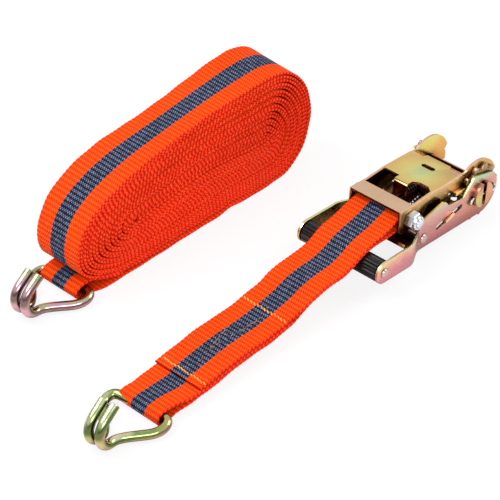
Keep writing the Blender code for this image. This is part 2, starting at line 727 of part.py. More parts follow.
# ---------------------------------------------------------------- long strap, wound up
def roll_outline():
    """Two round ends of different height joined by straight runs, bottom on the floor."""
    left_x, left_z, left_r = ROLL_LEFT
    right_x, right_z, right_r = ROLL_RIGHT
    run, rise = right_x - left_x, right_z - left_z
    tilt = (math.degrees(math.asin((right_r - left_r) / math.hypot(run, rise)))
            + math.degrees(math.atan2(rise, run)))
    return (arc((right_x, right_z), right_r, -90, 90 + tilt, 26)
            + arc((left_x, left_z), left_r, 90 + tilt, 270, 26))


def build_long_strap():
    """The roll as one solid, with the tail that loops around its hook's bar."""
    low, high = ROLL_Y - WEB_HALF, ROLL_Y + WEB_HALF
    roll = plate("long_strap", [roll_outline()], low, high)
    x, _, z = HOOK_B
    tail_outline = arc((x - LOOP_B, z), LOOP_R, 90, 270, 12) + [
        (-70.0, z - LOOP_R), (-70.0, 5.4), (-112.0, 5.6), (-122.0, 9.4), (-130.0, 12.7),
        (x + LOOP_B, z + LOOP_R),
    ]
    tail = plate("tail", [tail_outline, bar_hole(HOOK_B, LOOP_B)], low, high)
    narrow(tail, ROLL_Y, -117.0, -130.0)
    join(roll, tail, "UNION")
    finish(roll, webbing("long_webbing"), LAYOUT)


# ---------------------------------------------------------------- build
build_base()
build_bolt()
build_nut()
build_wheels()
build_spool()
build_cotter_pins()
build_handle_plates()
build_rivet_pin("handle_spacer_pin", steel("pin_steel"), SPACER, SPACER_R,
                reach=HANDLE_OUT, head_radius=4.5, head_height=1.5)
build_rivet_pin("grip_pin", steel("grip_pin_steel"), GRIP, GRIP_PIN_R,
                reach=HANDLE_OUT + JOG, head_radius=4.3, head_height=1.7)
build_grip()
build_drive_pawl()
build_spring("drive_pawl_spring", steel("drive_spring_steel"), from_tip(14.95), from_tip(51.2),
             y=0.0, mean_radius=3.5, turns=11, steps=9)
build_lock_pawl()
build_spring("lock_pawl_spring", steel("lock_spring_steel"), (-46.95, LOCK_Z), (-64.3, LOCK_Z),
             y=LOCK_Y, mean_radius=3.6, turns=6, steps=10)
build_short_strap()
build_hook("short_strap_hook", HOOK_A, HOOK_A_YAW)
build_hook("long_strap_hook", HOOK_B, HOOK_B_YAW)
build_long_strap()
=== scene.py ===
"""Looks of a ratchet tie down: orange webbing wound into a roll, a short hooked strap and a
yellow-zinc ratchet buckle.

The pieces lie in two rows along x on the floor z = 0: the buckle and short strap in the near row,
the roll and its hook in the far row (+y). Shapes are set out in layout millimetres; LAYOUT_SHIFT
takes them to the frame of the CAD pieces, which is in metres.
"""
import json
import math
import random
from functools import cached_property

import bmesh
import bpy
import numpy as np
from mathutils import Matrix, Vector


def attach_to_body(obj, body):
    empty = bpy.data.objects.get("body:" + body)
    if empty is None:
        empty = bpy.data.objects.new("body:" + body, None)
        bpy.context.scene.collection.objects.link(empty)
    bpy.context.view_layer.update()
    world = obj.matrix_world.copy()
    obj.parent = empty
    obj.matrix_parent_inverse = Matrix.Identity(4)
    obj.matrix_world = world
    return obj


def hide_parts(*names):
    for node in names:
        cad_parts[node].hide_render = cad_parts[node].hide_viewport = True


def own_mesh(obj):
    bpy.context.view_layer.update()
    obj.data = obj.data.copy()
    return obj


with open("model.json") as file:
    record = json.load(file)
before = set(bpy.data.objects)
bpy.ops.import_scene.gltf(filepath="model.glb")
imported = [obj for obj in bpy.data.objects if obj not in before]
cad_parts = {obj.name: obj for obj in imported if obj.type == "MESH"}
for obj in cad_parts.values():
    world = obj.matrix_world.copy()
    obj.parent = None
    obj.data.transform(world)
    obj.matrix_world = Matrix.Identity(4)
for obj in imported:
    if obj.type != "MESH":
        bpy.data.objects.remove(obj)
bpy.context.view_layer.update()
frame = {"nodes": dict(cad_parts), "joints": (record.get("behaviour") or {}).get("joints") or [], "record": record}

MM = 0.001

# ------------------------------------------------------------------ driving dimensions, mm
AXLE = np.array({j["name"]: j for j in frame["joints"]}["handle_swing"]["pos_m"]) * 1000
AXLE_LAYOUT = (165.7, -78.1, 26.2)  # the same axle in layout coordinates
LAYOUT_SHIFT = AXLE - np.array(AXLE_LAYOUT)
PITCH = math.radians(4.5)  # tilt of the buckle's base
COS_PITCH, SIN_PITCH = math.cos(PITCH), math.sin(PITCH)

WEB_HALF = 24.3  # half width of the webbing
LOOP_HALF = 21.3  # half width where it is gathered in a hook
EDGE_ROUND = 1.15  # width of the rounded selvedge
RIB = 4.15  # along the webbing, one warp float and the gap after it
WARP = 2 * (WEB_HALF - EDGE_ROUND) / 45  # across, one warp end
STAGGER = 0.58 * math.pi  # how much further on neighbouring warp ends float, as an angle
STRIPE_HALF = 8 * WARP

SHORT_Y = AXLE_LAYOUT[1]
ROLL_Y = 74.7
SHORT_HOOK_BAR = np.array((-202.0, -77.4, 6.8))
LONG_HOOK_BAR = np.array((-137.0, ROLL_Y, 6.8))
BOLT_ALONG, BOLT_HEIGHT = -88.5, 10.0  # strap bolt from the axle, in the buckle's axes
BOLT_X = AXLE_LAYOUT[0] + BOLT_ALONG * COS_PITCH + BOLT_HEIGHT * SIN_PITCH
BOLT_Z = AXLE_LAYOUT[2] - BOLT_ALONG * SIN_PITCH + BOLT_HEIGHT * COS_PITCH

# Buckle axes (along the base, across, height towards the floor plate) to the CAD frame, metres.
BUCKLE = Matrix.Translation(Vector(AXLE) * MM) @ Matrix((
    (COS_PITCH, 0, SIN_PITCH, 0), (0, 1, 0, 0), (-SIN_PITCH, 0, COS_PITCH, 0), (0, 0, 0, 1)))


# ------------------------------------------------------------------ curves
def smoothstep(x):
    x = np.clip(x, 0.0, 1.0)
    return x * x * (3 - 2 * x)


def between(start, end, t_start, t_end, t):
    """The point at t on the line through start and end."""
    span = t_end - t_start
    return (t_end - t) / span * start + (t - t_start) / span * end


def catmull(points, steps=8, closed=False):
    """A smooth curve through points, centripetal so that it doesn't overshoot."""
    points = np.array(points, float)
    count = len(points)
    curve = []
    for i in range(count if closed else count - 1):
        p0 = points[(i - 1) % count] if closed or i > 0 else 2 * points[0] - points[1]
        p1 = points[i % count]
        p2 = points[(i + 1) % count]
        inside = closed or i + 2 < count
        p3 = points[(i + 2) % count] if inside else 2 * points[-1] - points[-2]
        t0 = 0.0
        t1 = t0 + max(np.linalg.norm(p1 - p0), 1e-9) ** 0.5
        t2 = t1 + max(np.linalg.norm(p2 - p1), 1e-9) ** 0.5
        t3 = t2 + max(np.linalg.norm(p3 - p2), 1e-9) ** 0.5
        for k in range(steps):
            t = t1 + (t2 - t1) * k / steps
            a1 = between(p0, p1, t0, t1, t)
            a2 = between(p1, p2, t1, t2, t)
            a3 = between(p2, p3, t2, t3, t)
            b1 = between(a1, a2, t0, t2, t)
            b2 = between(a2, a3, t1, t3, t)
            curve.append(between(b1, b2, t1, t2, t))
    if not closed:
        curve.append(points[-1])
    return np.array(curve)


def resample(points, step):
    """Points at even spacing along a polyline, and their distances along it."""
    points = np.asarray(points, float)
    gaps = np.linalg.norm(np.diff(points, axis=0), axis=1)
    points = points[np.concatenate([[True], gaps > 1e-7])]
    gaps = np.linalg.norm(np.diff(points, axis=0), axis=1)
    distance = np.concatenate([[0], np.cumsum(gaps)])
    even = np.linspace(0, distance[-1], max(2, int(round(distance[-1] / step)) + 1))
    axes = [np.interp(even, distance, points[:, k]) for k in range(points.shape[1])]
    return np.stack(axes, 1), even


def relax(points, rounds):
    """Takes small kinks out of a polyline and leaves its ends."""
    for _ in range(rounds):
        points = points.copy()
        points[1:-1] = 0.5 * points[1:-1] + 0.25 * (points[:-2] + points[2:])
    return points


# ------------------------------------------------------------------ shader nodes
def srgb(red, green, blue):
    """Display colour 0..255 to linear."""
    def linear(level):
        level /= 255.0
        return level / 12.92 if level <= 0.04045 else ((level + 0.055) / 1.055) ** 2.4
    return (linear(red), linear(green), linear(blue))


class Nodes:
    """Short calls for building the node tree of a material or a world."""

    def __init__(self, owner):
        owner.use_nodes = True
        self.owner = owner
        self.tree = owner.node_tree
        self.tree.nodes.clear()

    def put(self, node, key, value):
        """Links or sets an input. Colours are given without alpha."""
        socket = node.inputs[key]
        if isinstance(value, bpy.types.NodeSocket):
            self.tree.links.new(value, socket)
        elif socket.type == "RGBA":
            socket.default_value = (*value, 1.0)
        else:
            socket.default_value = value

    def node(self, kind, inputs=None, **settings):
        made = self.tree.nodes.new("ShaderNode" + kind)
        for key, value in settings.items():
            setattr(made, key, value)
        for key, value in (inputs or {}).items():
            self.put(made, key, value)
        return made

    def calc(self, operation, *values):
        return self.node("Math", dict(enumerate(values)), operation=operation).outputs[0]

    def add(self, first, second):
        return self.calc("ADD", first, second)

    def sub(self, first, second):
        return self.calc("SUBTRACT", first, second)

    def mul(self, first, second):
        return self.calc("MULTIPLY", first, second)

    def scale(self, vector, factor):
        inputs = {0: vector, "Scale": factor}
        return self.node("VectorMath", inputs, operation="SCALE").outputs[0]

    def separate(self, vector):
        return self.node("SeparateXYZ", {0: vector}).outputs

    def combine(self, x, y):
        return self.node("CombineXYZ", {0: x, 1: y}).outputs[0]

    def object_place(self):
        return self.node("TexCoord").outputs["Object"]

    def mapping(self, vector, **inputs):
        return self.node("Mapping", {"Vector": vector, **inputs}).outputs[0]

    def mix(self, factor, first, second, blend="MIX"):
        return self.node("Mix", {0: factor, 6: first, 7: second}, data_type="RGBA",
                         blend_type=blend, clamp_factor=True).outputs[2]

    def remap(self, value, span, to=(0.0, 1.0), smooth=False):
        return self.node("MapRange", dict(enumerate((value, *span, *to))),
                         interpolation_type="SMOOTHSTEP" if smooth else "LINEAR").outputs[0]

    def ramp(self, value, stops, display=True):
        """stops: (position, colour), in display colours 0..255 or else linear ones."""
        node = self.node("ValToRGB", {0: value})
        elements = node.color_ramp.elements
        while len(elements) > 1:
            elements.remove(elements[-1])
        for i, (position, colour) in enumerate(stops):
            element = elements.new(position) if i else elements[0]
            element.position = position
            element.color = (*(srgb(*colour) if display else colour), 1)
        return node.outputs[0]

    def noise(self, vector, scale, detail=3.0, rough=0.5, distortion=0.0):
        return self.node("TexNoise", {"Vector": vector, "Scale": scale, "Detail": detail,
                                      "Roughness": rough, "Distortion": distortion}).outputs[0]

    def bump(self, height, strength, distance):
        return self.node("Bump", {"Strength": strength, "Distance": distance,
                                  "Height": height}).outputs[0]

    def output(self, shader, kind="OutputMaterial"):
        self.node(kind, {0: shader.outputs[0]})
        return self.owner

    def surface(self, inputs):
        return self.output(self.node("BsdfPrincipled", inputs))


def new_material(name):
    return Nodes(bpy.data.materials.new(name))


# ------------------------------------------------------------------ objects
def add_object(name, data):
    made = bpy.data.objects.new(name, data)
    bpy.context.scene.collection.objects.link(made)
    return made


def attach(made, body):
    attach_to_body(made, body)
    return made


def fill_mesh(mesh, bm):
    bm.to_mesh(mesh)
    bm.free()


# ------------------------------------------------------------------ webbing material
# weave colours from the gaps to the float crowns: the dark ends are painted shade in the gaps and the light ends
# painted highlight on the crowns, over the weave's own pattern
ORANGE_STOPS = [(0.00, (198, 38, 0)), (0.12, (228, 54, 0)), (0.35, (244, 70, 0)),
                (0.62, (252, 84, 2)), (0.9, (255, 106, 14))]
SLATE_STOPS = [(0.00, (8, 9, 16)), (0.12, (22, 25, 38)), (0.34, (42, 48, 70)),
               (0.60, (78, 87, 116)), (0.88, (140, 151, 180))]
SELVEDGE_STOPS = [(0.00, (186, 14, 0)), (0.22, (232, 36, 8)), (0.5, (252, 60, 18)),
                  (0.85, (255, 96, 42))]
SELVEDGE_SHARE = 1.0  # how fully the selvedge colour covers the edge


def webbing_material():
    """Coarse woven polyester with a slate stripe along the middle.

    The UVs are in millimetres / 100: along the webbing, and across from its middle.
    The point attribute 'edge' is 1 on the selvedge and 2 at a cut end.
    """
    tree = new_material("orange_webbing")
    uv = tree.separate(tree.node("UVMap", uv_map="web").outputs[0])
    along = tree.mul(uv[0], 100.0)
    across = tree.mul(uv[1], 100.0)
    place = tree.object_place()

    # warp floats, with a slight wander of the threads
    slow = tree.combine(tree.mul(along, 0.05), tree.mul(across, 0.05))
    wander = tree.sub(tree.noise(slow, scale=4.0, detail=2.0), 0.5)
    wandered = tree.add(along, tree.mul(wander, 0.5))
    column = tree.calc("FLOOR", tree.calc("DIVIDE", across, WARP))
    odd = tree.calc("FLOORED_MODULO", column, 2.0)
    phase = tree.add(tree.mul(wandered, 2 * math.pi / RIB), tree.mul(odd, STAGGER))
    wave = tree.add(tree.mul(tree.calc("SINE", phase), 0.5), 0.5)
    hump_along = tree.calc("POWER", wave, 1.35)
    across_wave = tree.calc("SINE", tree.mul(across, math.pi / WARP))
    hump_across = tree.calc("POWER", tree.calc("ABSOLUTE", across_wave), 0.5)
    hump = tree.mul(hump_along, tree.add(tree.mul(hump_across, 0.7), 0.3))

    # a random tone for each float
    row = tree.calc("FLOOR", tree.add(tree.calc("DIVIDE", phase, 2 * math.pi), 0.25))
    white = tree.node("TexWhiteNoise", noise_dimensions="2D")
    tree.put(white, "Vector", tree.combine(column, row))
    chance = tree.sub(white.outputs[0], 0.5)

    # fibres along each float
    stretched = tree.combine(tree.mul(along, 0.3), tree.mul(across, 7.0))
    fibre = tree.noise(stretched, scale=1.0, detail=3.0, rough=0.6)

    in_stripe = tree.calc("LESS_THAN", tree.calc("ABSOLUTE", across), STRIPE_HALF)
    # painted highlight on the float crowns and painted shade in the gaps between them, over the pattern of the
    # weave
    orange = tree.ramp(tree.add(tree.mul(hump, 0.85), tree.mul(chance, 0.10)), ORANGE_STOPS)
    slate = tree.ramp(tree.add(tree.mul(hump, 0.85), tree.mul(chance, 0.22)), SLATE_STOPS)
    body = tree.mix(in_stripe, orange, slate)
    tone = tree.remap(tree.noise(place, scale=14.0), (0.3, 0.7), (0.92, 1.04))

    # the selvedge is a deeper red, because it is seen into the weave, and redder low down
    edge = tree.node("Attribute", attribute_name="edge").outputs["Fac"]
    on_edge = tree.calc("MINIMUM", edge, 1.0)
    on_cut = tree.remap(edge, (1.0, 2.0))
    selvedge = tree.ramp(tree.add(tree.mul(wave, 0.75), tree.mul(chance, 0.2)), SELVEDGE_STOPS)
    low_down = tree.remap(tree.separate(place)[2], (0.02, 0.10), (0.55, 0.0))
    selvedge = tree.mix(low_down, selvedge, tree.mix(0.5, selvedge, srgb(214, 16, 4)))
    colour = tree.mix(tree.mul(on_edge, SELVEDGE_SHARE), body, selvedge)
    # the cut ends are painted darker, as painted shade of the step where each end stands off the layer below
    cut_end = tree.mix(in_stripe, srgb(172, 22, 4), srgb(8, 8, 16))
    colour = tree.mix(on_cut, colour, cut_end)

    shade = tree.mul(tree.remap(fibre, (0.3, 0.7), (0.90, 1.06)), tone)
    relief = tree.add(tree.mul(hump, 0.6), tree.mul(fibre, 0.3))
    return tree.surface({
        "Base Color": tree.scale(colour, shade),
        "Roughness": tree.remap(fibre, (0.3, 0.7), (0.62, 0.82)),
        "Normal": tree.bump(relief, strength=0.5, distance=0.0003),
        "Specular IOR Level": 0.12,
    })


WEBBING = webbing_material()


# ------------------------------------------------------------------ ribbon of webbing
def weave_height(along, across):
    """Relief of the woven face in 0..1."""
    odd = np.floor(np.abs(across) / WARP + 1e-6) % 2
    odd = np.where(across < 0, 1 - odd, odd)
    hump_along = (0.5 + 0.5 * np.sin(along * 2 * math.pi / RIB + odd * STAGGER)) ** 0.8
    hump_across = np.abs(np.sin(across * math.pi / WARP)) ** 0.6
    return 0.25 + 0.75 * hump_along * hump_across


def cross_section(columns, edge_steps):
    """Going round: place across, side (1 on the first face, -1 on the other) and edge mark."""
    flat = np.linspace(-(WEB_HALF - EDGE_ROUND), WEB_HALF - EDGE_ROUND, columns + 1)
    angles = np.linspace(math.pi / 2, -math.pi / 2, edge_steps + 1)[1:-1]
    rounded = WEB_HALF - EDGE_ROUND + EDGE_ROUND * np.cos(angles) ** 0.8
    rounded_side = np.sign(np.sin(angles)) * np.abs(np.sin(angles)) ** 0.8
    across = np.concatenate([flat, rounded, flat[::-1], -rounded])
    side = np.concatenate([np.ones(len(flat)), rounded_side, -np.ones(len(flat)), -rounded_side])
    flat_mark = np.zeros(len(flat))
    flat_mark[[0, -1]] = 0.35
    rounded_mark = np.ones(len(rounded))
    mark = np.concatenate([flat_mark, rounded_mark, flat_mark, rounded_mark])
    return across, side, mark


def ribbon_faces(grid, flat, rounded):
    """Quads along the ribbon and its two closed ends. flat, rounded: points on each such part."""
    turned = np.roll(grid, -1, axis=1)
    quads = np.stack([grid[:-1], turned[:-1], turned[1:], grid[1:]], -1).reshape(-1, 4)
    faces = [tuple(quad) for quad in quads.tolist()]
    for row, forward in ((0, False), (-1, True)):
        ring = grid[row].tolist()
        upper = ring[:flat]
        lower = ring[flat + rounded:2 * flat + rounded][::-1]
        patches = [(upper[i], upper[i + 1], lower[i + 1], lower[i]) for i in range(flat - 1)]
        patches.append((upper[-1], *ring[flat:flat + rounded], lower[-1]))
        patches.append((lower[0], *ring[2 * flat + rounded:], upper[0]))
        faces += [patch if forward else patch[::-1] for patch in patches]
    return faces


def ribbon(name, body, path, thickness, centre_y, sideways, columns=95, edge_steps=6, relief=0.3,
           edge_bump=0.45, start=0.0, lean=None, narrow=None, cut_ends=(True, True)):
    """Webbing along path, which is resample's (x, z) points and distances.

    sideways(distance) moves it along y, lean(x, z, across) bends it out of its plane and
    narrow(x, z, across) gathers its width. start is its first distance along the weave.
    """
    points, distance = path
    tangent = np.gradient(points, axis=0)
    tangent /= np.maximum(np.linalg.norm(tangent, axis=1, keepdims=True), 1e-9)
    normal = np.stack([-tangent[:, 1], tangent[:, 0]], 1)  # left of the direction of travel
    section_across, section_side, section_mark = cross_section(columns, edge_steps)
    shape = (len(points), len(section_across))
    along = distance[:, None] + start
    all_along = np.broadcast_to(along, shape)
    flat_across = np.broadcast_to(section_across[None, :], shape)
    side = np.broadcast_to(section_side[None, :], shape)
    is_edge = np.broadcast_to(section_mark[None, :] > 0.5, shape)
    path_x = np.broadcast_to(points[:, 0:1], shape)
    path_z = np.broadcast_to(points[:, 1:2], shape)

    # height off the middle of the webbing: woven faces, beaded selvedges
    half_thick = thickness / 2
    woven = half_thick - relief + relief * weave_height(all_along, flat_across)
    selvedge = np.abs(np.sin(along * math.pi / RIB)) ** 0.6
    height = side * half_thick
    height = np.where(side > 0.99, woven, height)
    height = np.where(side < -0.99, -woven, height)
    height = np.where(is_edge, height * (0.82 + 0.18 * selvedge), height)

    bead = np.sign(flat_across) * edge_bump * (selvedge - 0.6)
    across = np.where(is_edge, flat_across + bead, flat_across)
    edge_wave = np.sign(across) * 0.22 * np.sin(along * 0.21 + 0.7)
    across = across + np.where(np.abs(across) > WEB_HALF - 2.4, edge_wave, 0.0)
    if lean is not None:
        height = height + lean(path_x, path_z, across)
    if narrow is not None:
        across = across * narrow(path_x, path_z, across)

    x = points[:, 0:1] + normal[:, 0:1] * height + LAYOUT_SHIFT[0]
    y = centre_y + across + sideways(distance)[:, None] + LAYOUT_SHIFT[1]
    z = points[:, 1:2] + normal[:, 1:2] * height + LAYOUT_SHIFT[2]
    places = np.stack([x, y, z], -1).reshape(-1, 3) * MM
    grid = np.arange(places.shape[0]).reshape(shape)
    mesh = bpy.data.meshes.new(name)
    faces = ribbon_faces(grid, flat=columns + 1, rounded=edge_steps - 1)
    mesh.from_pydata([tuple(place) for place in places.tolist()], [], faces)
    mesh.update()

    marks = np.tile(section_mark, (shape[0], 1))
    for row, is_cut in zip((0, -1), cut_ends):
        if is_cut:
            marks[row] = 2.0
    attribute = mesh.attributes.new("edge", "FLOAT", "POINT")
    attribute.data.foreach_set("value", marks.ravel().astype(np.float32))
    layer = mesh.uv_layers.new(name="web")
    corners = np.zeros(len(mesh.loops), np.int32)
    mesh.loops.foreach_get("vertex_index", corners)
    uv = [values.reshape(-1)[corners] / 100.0 for values in (all_along, flat_across)]
    layer.data.foreach_set("uv", np.stack(uv, 1).astype(np.float32).ravel())
    mesh.shade_smooth()
    mesh.materials.append(WEBBING)
    bm = bmesh.new()
    bm.from_mesh(mesh)
    bmesh.ops.recalc_face_normals(bm, faces=bm.faces)
    fill_mesh(mesh, bm)
    return attach(add_object(name, mesh), body)


# ------------------------------------------------------------------ the wound roll
ROLL_THICK = 2.35
# (x, z) of the outer face of the outermost turn on the near side: along the floor to the right,
# up, over the top and down the left
OUTLINE = [
    (46, 0.6), (60, 0.0), (83, 0.0), (100, 1.6), (112, 7.2), (122, 16.5), (129, 29), (132.4, 41),
    (133.4, 52), (132, 64), (127, 79), (120, 90.5), (110, 100.5), (98, 107.3), (84, 110.2),
    (66, 110.6), (44, 110.4), (20, 110.0), (0, 108.6), (-25, 106.2), (-50, 102.4), (-75, 97.3),
    (-98, 91), (-117, 83.6), (-131, 75), (-140, 64), (-144.8, 51), (-145.2, 38), (-141, 27),
    (-132, 18.6), (-120, 12.0), (-106, 7.2), (-90, 4.6), (-72, 3.2), (-55, 2.4), (-38, 1.4),
    (-20, 0.4), (0, 0.1), (18, 0.4), (30, 2.2)]
# the end folded back over the hook's bar, the loop and the run along the floor: (x, z)
TAIL = [
    (-97, 4.6), (-104, 6.0), (-112, 8.4), (-120, 11.2), (-128, 13.4), (-135.5, 13.6),
    (-141.5, 12.0), (-145.6, 8.6), (-145.2, 4.6), (-141.5, 2.0), (-136, 1.25), (-125, 1.2),
    (-110, 1.2), (-90, 1.2), (-70, 1.2), (-50, 1.2), (-36, 1.2)]
# how much higher the far side of the upper turns stands than the near side: x, rise
LEAN_X = [-145, -132, -115, -95, -75, -55, -35, -15, 5, 22, 40, 58, 75, 92, 108, 122, 134]
LEAN_RISE = [1.0, 4.5, 6.6, 6.2, 4.4, 1.4, -0.9, -0.9, 0.0, 1.6, 4.0, 6.4, 7.2, 6.2, 4.2, 2.2, 1.0]
CORE_LEFT, CORE_RIGHT = -79.0, 70.0
TURNS = 20.0
OUTER_TURNS = 1.16  # the part of the winding that is modelled with its weave
OVERLAP_TURNS = 0.004  # how far the inner ribbon starts back inside the outer one
INNER_STOP = 0.42  # turns left out at the core
JOIN_X = -20.0  # where the run along the floor becomes the winding
TURN_STEP = 1.0 / 900


def core_z(x):
    """Height of the flat core that the webbing is wound round."""
    return (50.0 + 5.0 * np.exp(-(x / 34.0) ** 2) - 2.2 * smoothstep((-x - 30) / 50.0)
            - 1.2 * smoothstep((x - 40) / 25.0))


def core_feet(outline):
    """For each outline point, the x on the core that it is wound about, smoothed at the ends."""
    kernel = np.hanning(43)
    kernel /= kernel.sum()
    pad = 61
    foot_x = np.clip(outline[:, 0], CORE_LEFT, CORE_RIGHT)
    padded = np.concatenate([foot_x[-pad - 1:-1], foot_x, foot_x[1:pad + 1]])
    return np.convolve(padded, kernel, "same")[pad:-pad]


outline = catmull(OUTLINE, 24, closed=True)
outline, outline_way = resample(np.vstack([outline, outline[:1]]), 1.0)
outline_length = outline_way[-1]
foot_x = core_feet(outline)
foot_z = core_z(foot_x)
EYE_WAY = outline_way[np.argmax(outline[:, 0] - 0.002 * np.abs(outline[:, 1] - 50))]


def roll_points(turn, layer):
    """(x, z) of the winding.

    turn: way round the outline, in turns; layer: TURNS on the outside, 0 at the core.
    """
    part = turn % 1.0
    way = part * outline_length
    out_x = np.interp(way, outline_way, outline[:, 0])
    out_z = np.interp(way, outline_way, outline[:, 1])
    in_x = np.interp(way, outline_way, foot_x)
    in_z = np.interp(way, outline_way, foot_z)
    depth = np.hypot(out_x - in_x, out_z - in_z)
    drop = np.where(part < 0.72, part, 0.72 * (1 - smoothstep((part - 0.72) / 0.2)))
    ratio = layer / (TURNS - drop)  # 0 at the core, 1 on the outline
    # the turns lie in pairs, and are not wound evenly
    window = smoothstep(part / 0.1) * smoothstep((0.86 - part) / 0.14)
    inside = np.sin(math.pi * np.clip(ratio, 0, 1)) ** 0.5
    ratio = ratio + inside * window * 0.0045 * (1 - 2 * (np.floor(turn) % 2))
    ratio = ratio + inside * (0.008 * np.sin(2 * math.pi * part * 2 + 0.8)
                              + 0.004 * np.sin(2 * math.pi * part * 5 + 0.35 * layer)
                              + 0.003 * np.sin(2 * math.pi * part * 3 + 0.9 * layer)) * window
    # the innermost fold at the right end stands open
    eye = (8.0 * np.exp(-((way - EYE_WAY) / 20.0) ** 2)
           * (1 - np.clip(ratio, 0, 1)) ** 3.0 / depth)
    ratio = np.minimum(ratio, 1.0) * (1 - (ROLL_THICK / 2) / depth) + eye
    return np.stack([in_x + (out_x - in_x) * ratio, in_z + (out_z - in_z) * ratio], 1)


def roll_lean(x, z, across):
    """Raises the far side of the upper turns by an amount that changes along the roll."""
    rise = np.interp(x, LEAN_X, LEAN_RISE)
    up = np.clip((z - 50.0) / 58.0, 0.0, 1.0) ** 1.2
    return -rise * up * np.clip((across + WEB_HALF) / (2 * WEB_HALF), 0.0, 1.0) ** 1.15


def roll_wander(distance):
    """Sideways place of the webbing along its length: the turns are not quite flush."""
    return (0.55 * np.sin(distance * 0.0049 + 0.3) + 0.35 * np.sin(distance * 0.0171 + 1.0)
            + 0.25 * np.sin(distance * 0.043))


def tail_narrow(x, z, across):
    """Gathered where it passes through the hook."""
    gathered = smoothstep((-117.0 - x) / 13.0) * (z < 15.5)
    return 1 + (LOOP_HALF / WEB_HALF - 1) * gathered


def outer_turn_path():
    """The tail, the run along the floor, then the outermost turn."""
    bottom = (outline[:, 1] < 12) & (outline_way > outline_length * 0.7)
    join = np.interp(JOIN_X, outline[bottom, 0], outline_way[bottom]) / outline_length
    # nothing lies outside the first stretch, so it keeps to the outline
    first = np.arange(join - 1.0, 0.0, 1.0 / 700)
    wound = np.arange(0.0, OUTER_TURNS, TURN_STEP)
    points = np.vstack([catmull(TAIL, 12),
                        roll_points(first, np.full(len(first), TURNS)),
                        roll_points(wound, TURNS - wound)])
    return resample(relax(points, 6), 0.62)


def inner_turns_path():
    wound = np.arange(OUTER_TURNS - OVERLAP_TURNS, TURNS - INNER_STOP, TURN_STEP)
    return resample(relax(roll_points(wound, TURNS - wound), 5), 0.83)


def build_roll():
    outer = outer_turn_path()
    outer_length = outer[1][-1]
    ribbon("long_webbing_outer_turn", "long_strap", outer, ROLL_THICK, ROLL_Y, roll_wander,
           lean=roll_lean, narrow=tail_narrow, cut_ends=(True, False))
    inner = ribbon("long_webbing_inner_turns", "long_strap", inner_turns_path(),
                   ROLL_THICK - 0.05, ROLL_Y, lambda distance: roll_wander(distance + outer_length),
                   columns=3, edge_steps=7, relief=0.0, edge_bump=0.5, start=outer_length,
                   lean=roll_lean, cut_ends=(False, True))
    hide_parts("long_strap")


build_roll()

# ------------------------------------------------------------------ the short strap
SHORT_THICK = 2.1
# (x, z) of the middle of the strap from the hook to the bolt
MIDDLE = catmull([
    (-214.0, 6.4), (-198.2, 6.8), (-184.0, 8.4), (-160.0, 8.7), (-130.0, 8.7), (-98.0, 10.8),
    (-66.0, 15.2), (-40.0, 18.8), (-4.0, 23.0), (12.0, 28.4), (28.5, 36.6), (48.0, 39.8),
    (62.0, 41.6), (BOLT_X, BOLT_Z), (BOLT_X + 8, BOLT_Z + 0.4)], 10)
# (x, extra z): the strap bulges up between its seams and before the bolt
BULGES = catmull([
    (-240, 0.0), (-200, 0.0), (-182, -0.3), (-165, 0.6), (-150, 2.4), (-135, 4.2), (-118, 5.2),
    (-104, 4.4), (-92, 2.8), (-72, 1.3), (-57, 1.7), (-46, 3.4), (-36, 5.4), (-24, 6.6),
    (-12, 5.6), (0, 3.6), (14, 1.7), (34, -0.4), (54, -1.6), (68, -0.6), (78, 0.0), (120, 0.0)], 8)
SEWN_LEFT, SEWN_RIGHT = -163.5, -61.0  # the sewn overlap, three layers thick
WIRE_RADIUS = 4.0  # of the hooks
BOLT_RADIUS = 4.0
HOOK_BEND_X = SHORT_HOOK_BAR[0] + 1.0
HOOK_BEND = WIRE_RADIUS + 0.45 + SHORT_THICK / 2  # bend radii of the webbing
BOLT_BEND = BOLT_RADIUS + 0.4 + SHORT_THICK / 2
FLAT_SPREAD = 1.25


def middle_z(x):
    return np.interp(x, MIDDLE[:, 0], MIDDLE[:, 1]) + np.interp(x, BULGES[:, 0], BULGES[:, 1])


def spread(x):
    """Half the distance between the top and bottom layers."""
    near_hook = smoothstep(1 - (x - HOOK_BEND_X) / 36.0)
    near_bolt = smoothstep(1 - (BOLT_X - x) / 52.0)
    return (FLAT_SPREAD + (HOOK_BEND - FLAT_SPREAD) * near_hook
            + (BOLT_BEND - FLAT_SPREAD) * near_bolt)


def overlap(x):
    """1 in the sewn overlap, 0 away from it."""
    return smoothstep((x - SEWN_LEFT + 6) / 14.0) * smoothstep((SEWN_RIGHT + 10 - x) / 12.0)


def top_layer(x):
    return middle_z(x) + spread(x) + 0.75 * overlap(x)


def low_layer(x):
    return middle_z(x) - spread(x) - 1.45 * overlap(x)


def arc(x, z, radius, degrees):
    """(x, z) points on a circle."""
    return np.array([(x + radius * math.cos(math.radians(angle)),
                      z + radius * math.sin(math.radians(angle))) for angle in degrees])


def short_strap_path():
    """Inner end of the overlap, round the hook, along the bottom, round the bolt, back on top."""
    x_step = 1.5
    inner_x = np.arange(SEWN_RIGHT, HOOK_BEND_X, -x_step)
    low_x = np.arange(HOOK_BEND_X, BOLT_X, x_step)
    top_x = np.arange(BOLT_X, SEWN_LEFT, -x_step)
    # the cut end stands a little off the layer below
    lifted_end = 1.3 * np.exp(-((top_x - SEWN_LEFT) / 3.2) ** 2)
    points = np.vstack([
        np.stack([inner_x, middle_z(inner_x) + spread(inner_x) - 1.75 * overlap(inner_x)], 1),
        arc(HOOK_BEND_X, middle_z(HOOK_BEND_X), HOOK_BEND, range(98, 263, 12)),
        np.stack([low_x, low_layer(low_x)], 1),
        arc(BOLT_X, BOLT_Z, BOLT_BEND, range(-84, 85, 12)),
        np.stack([top_x, top_layer(top_x) + lifted_end], 1)])
    return resample(relax(points, 3), 0.62)


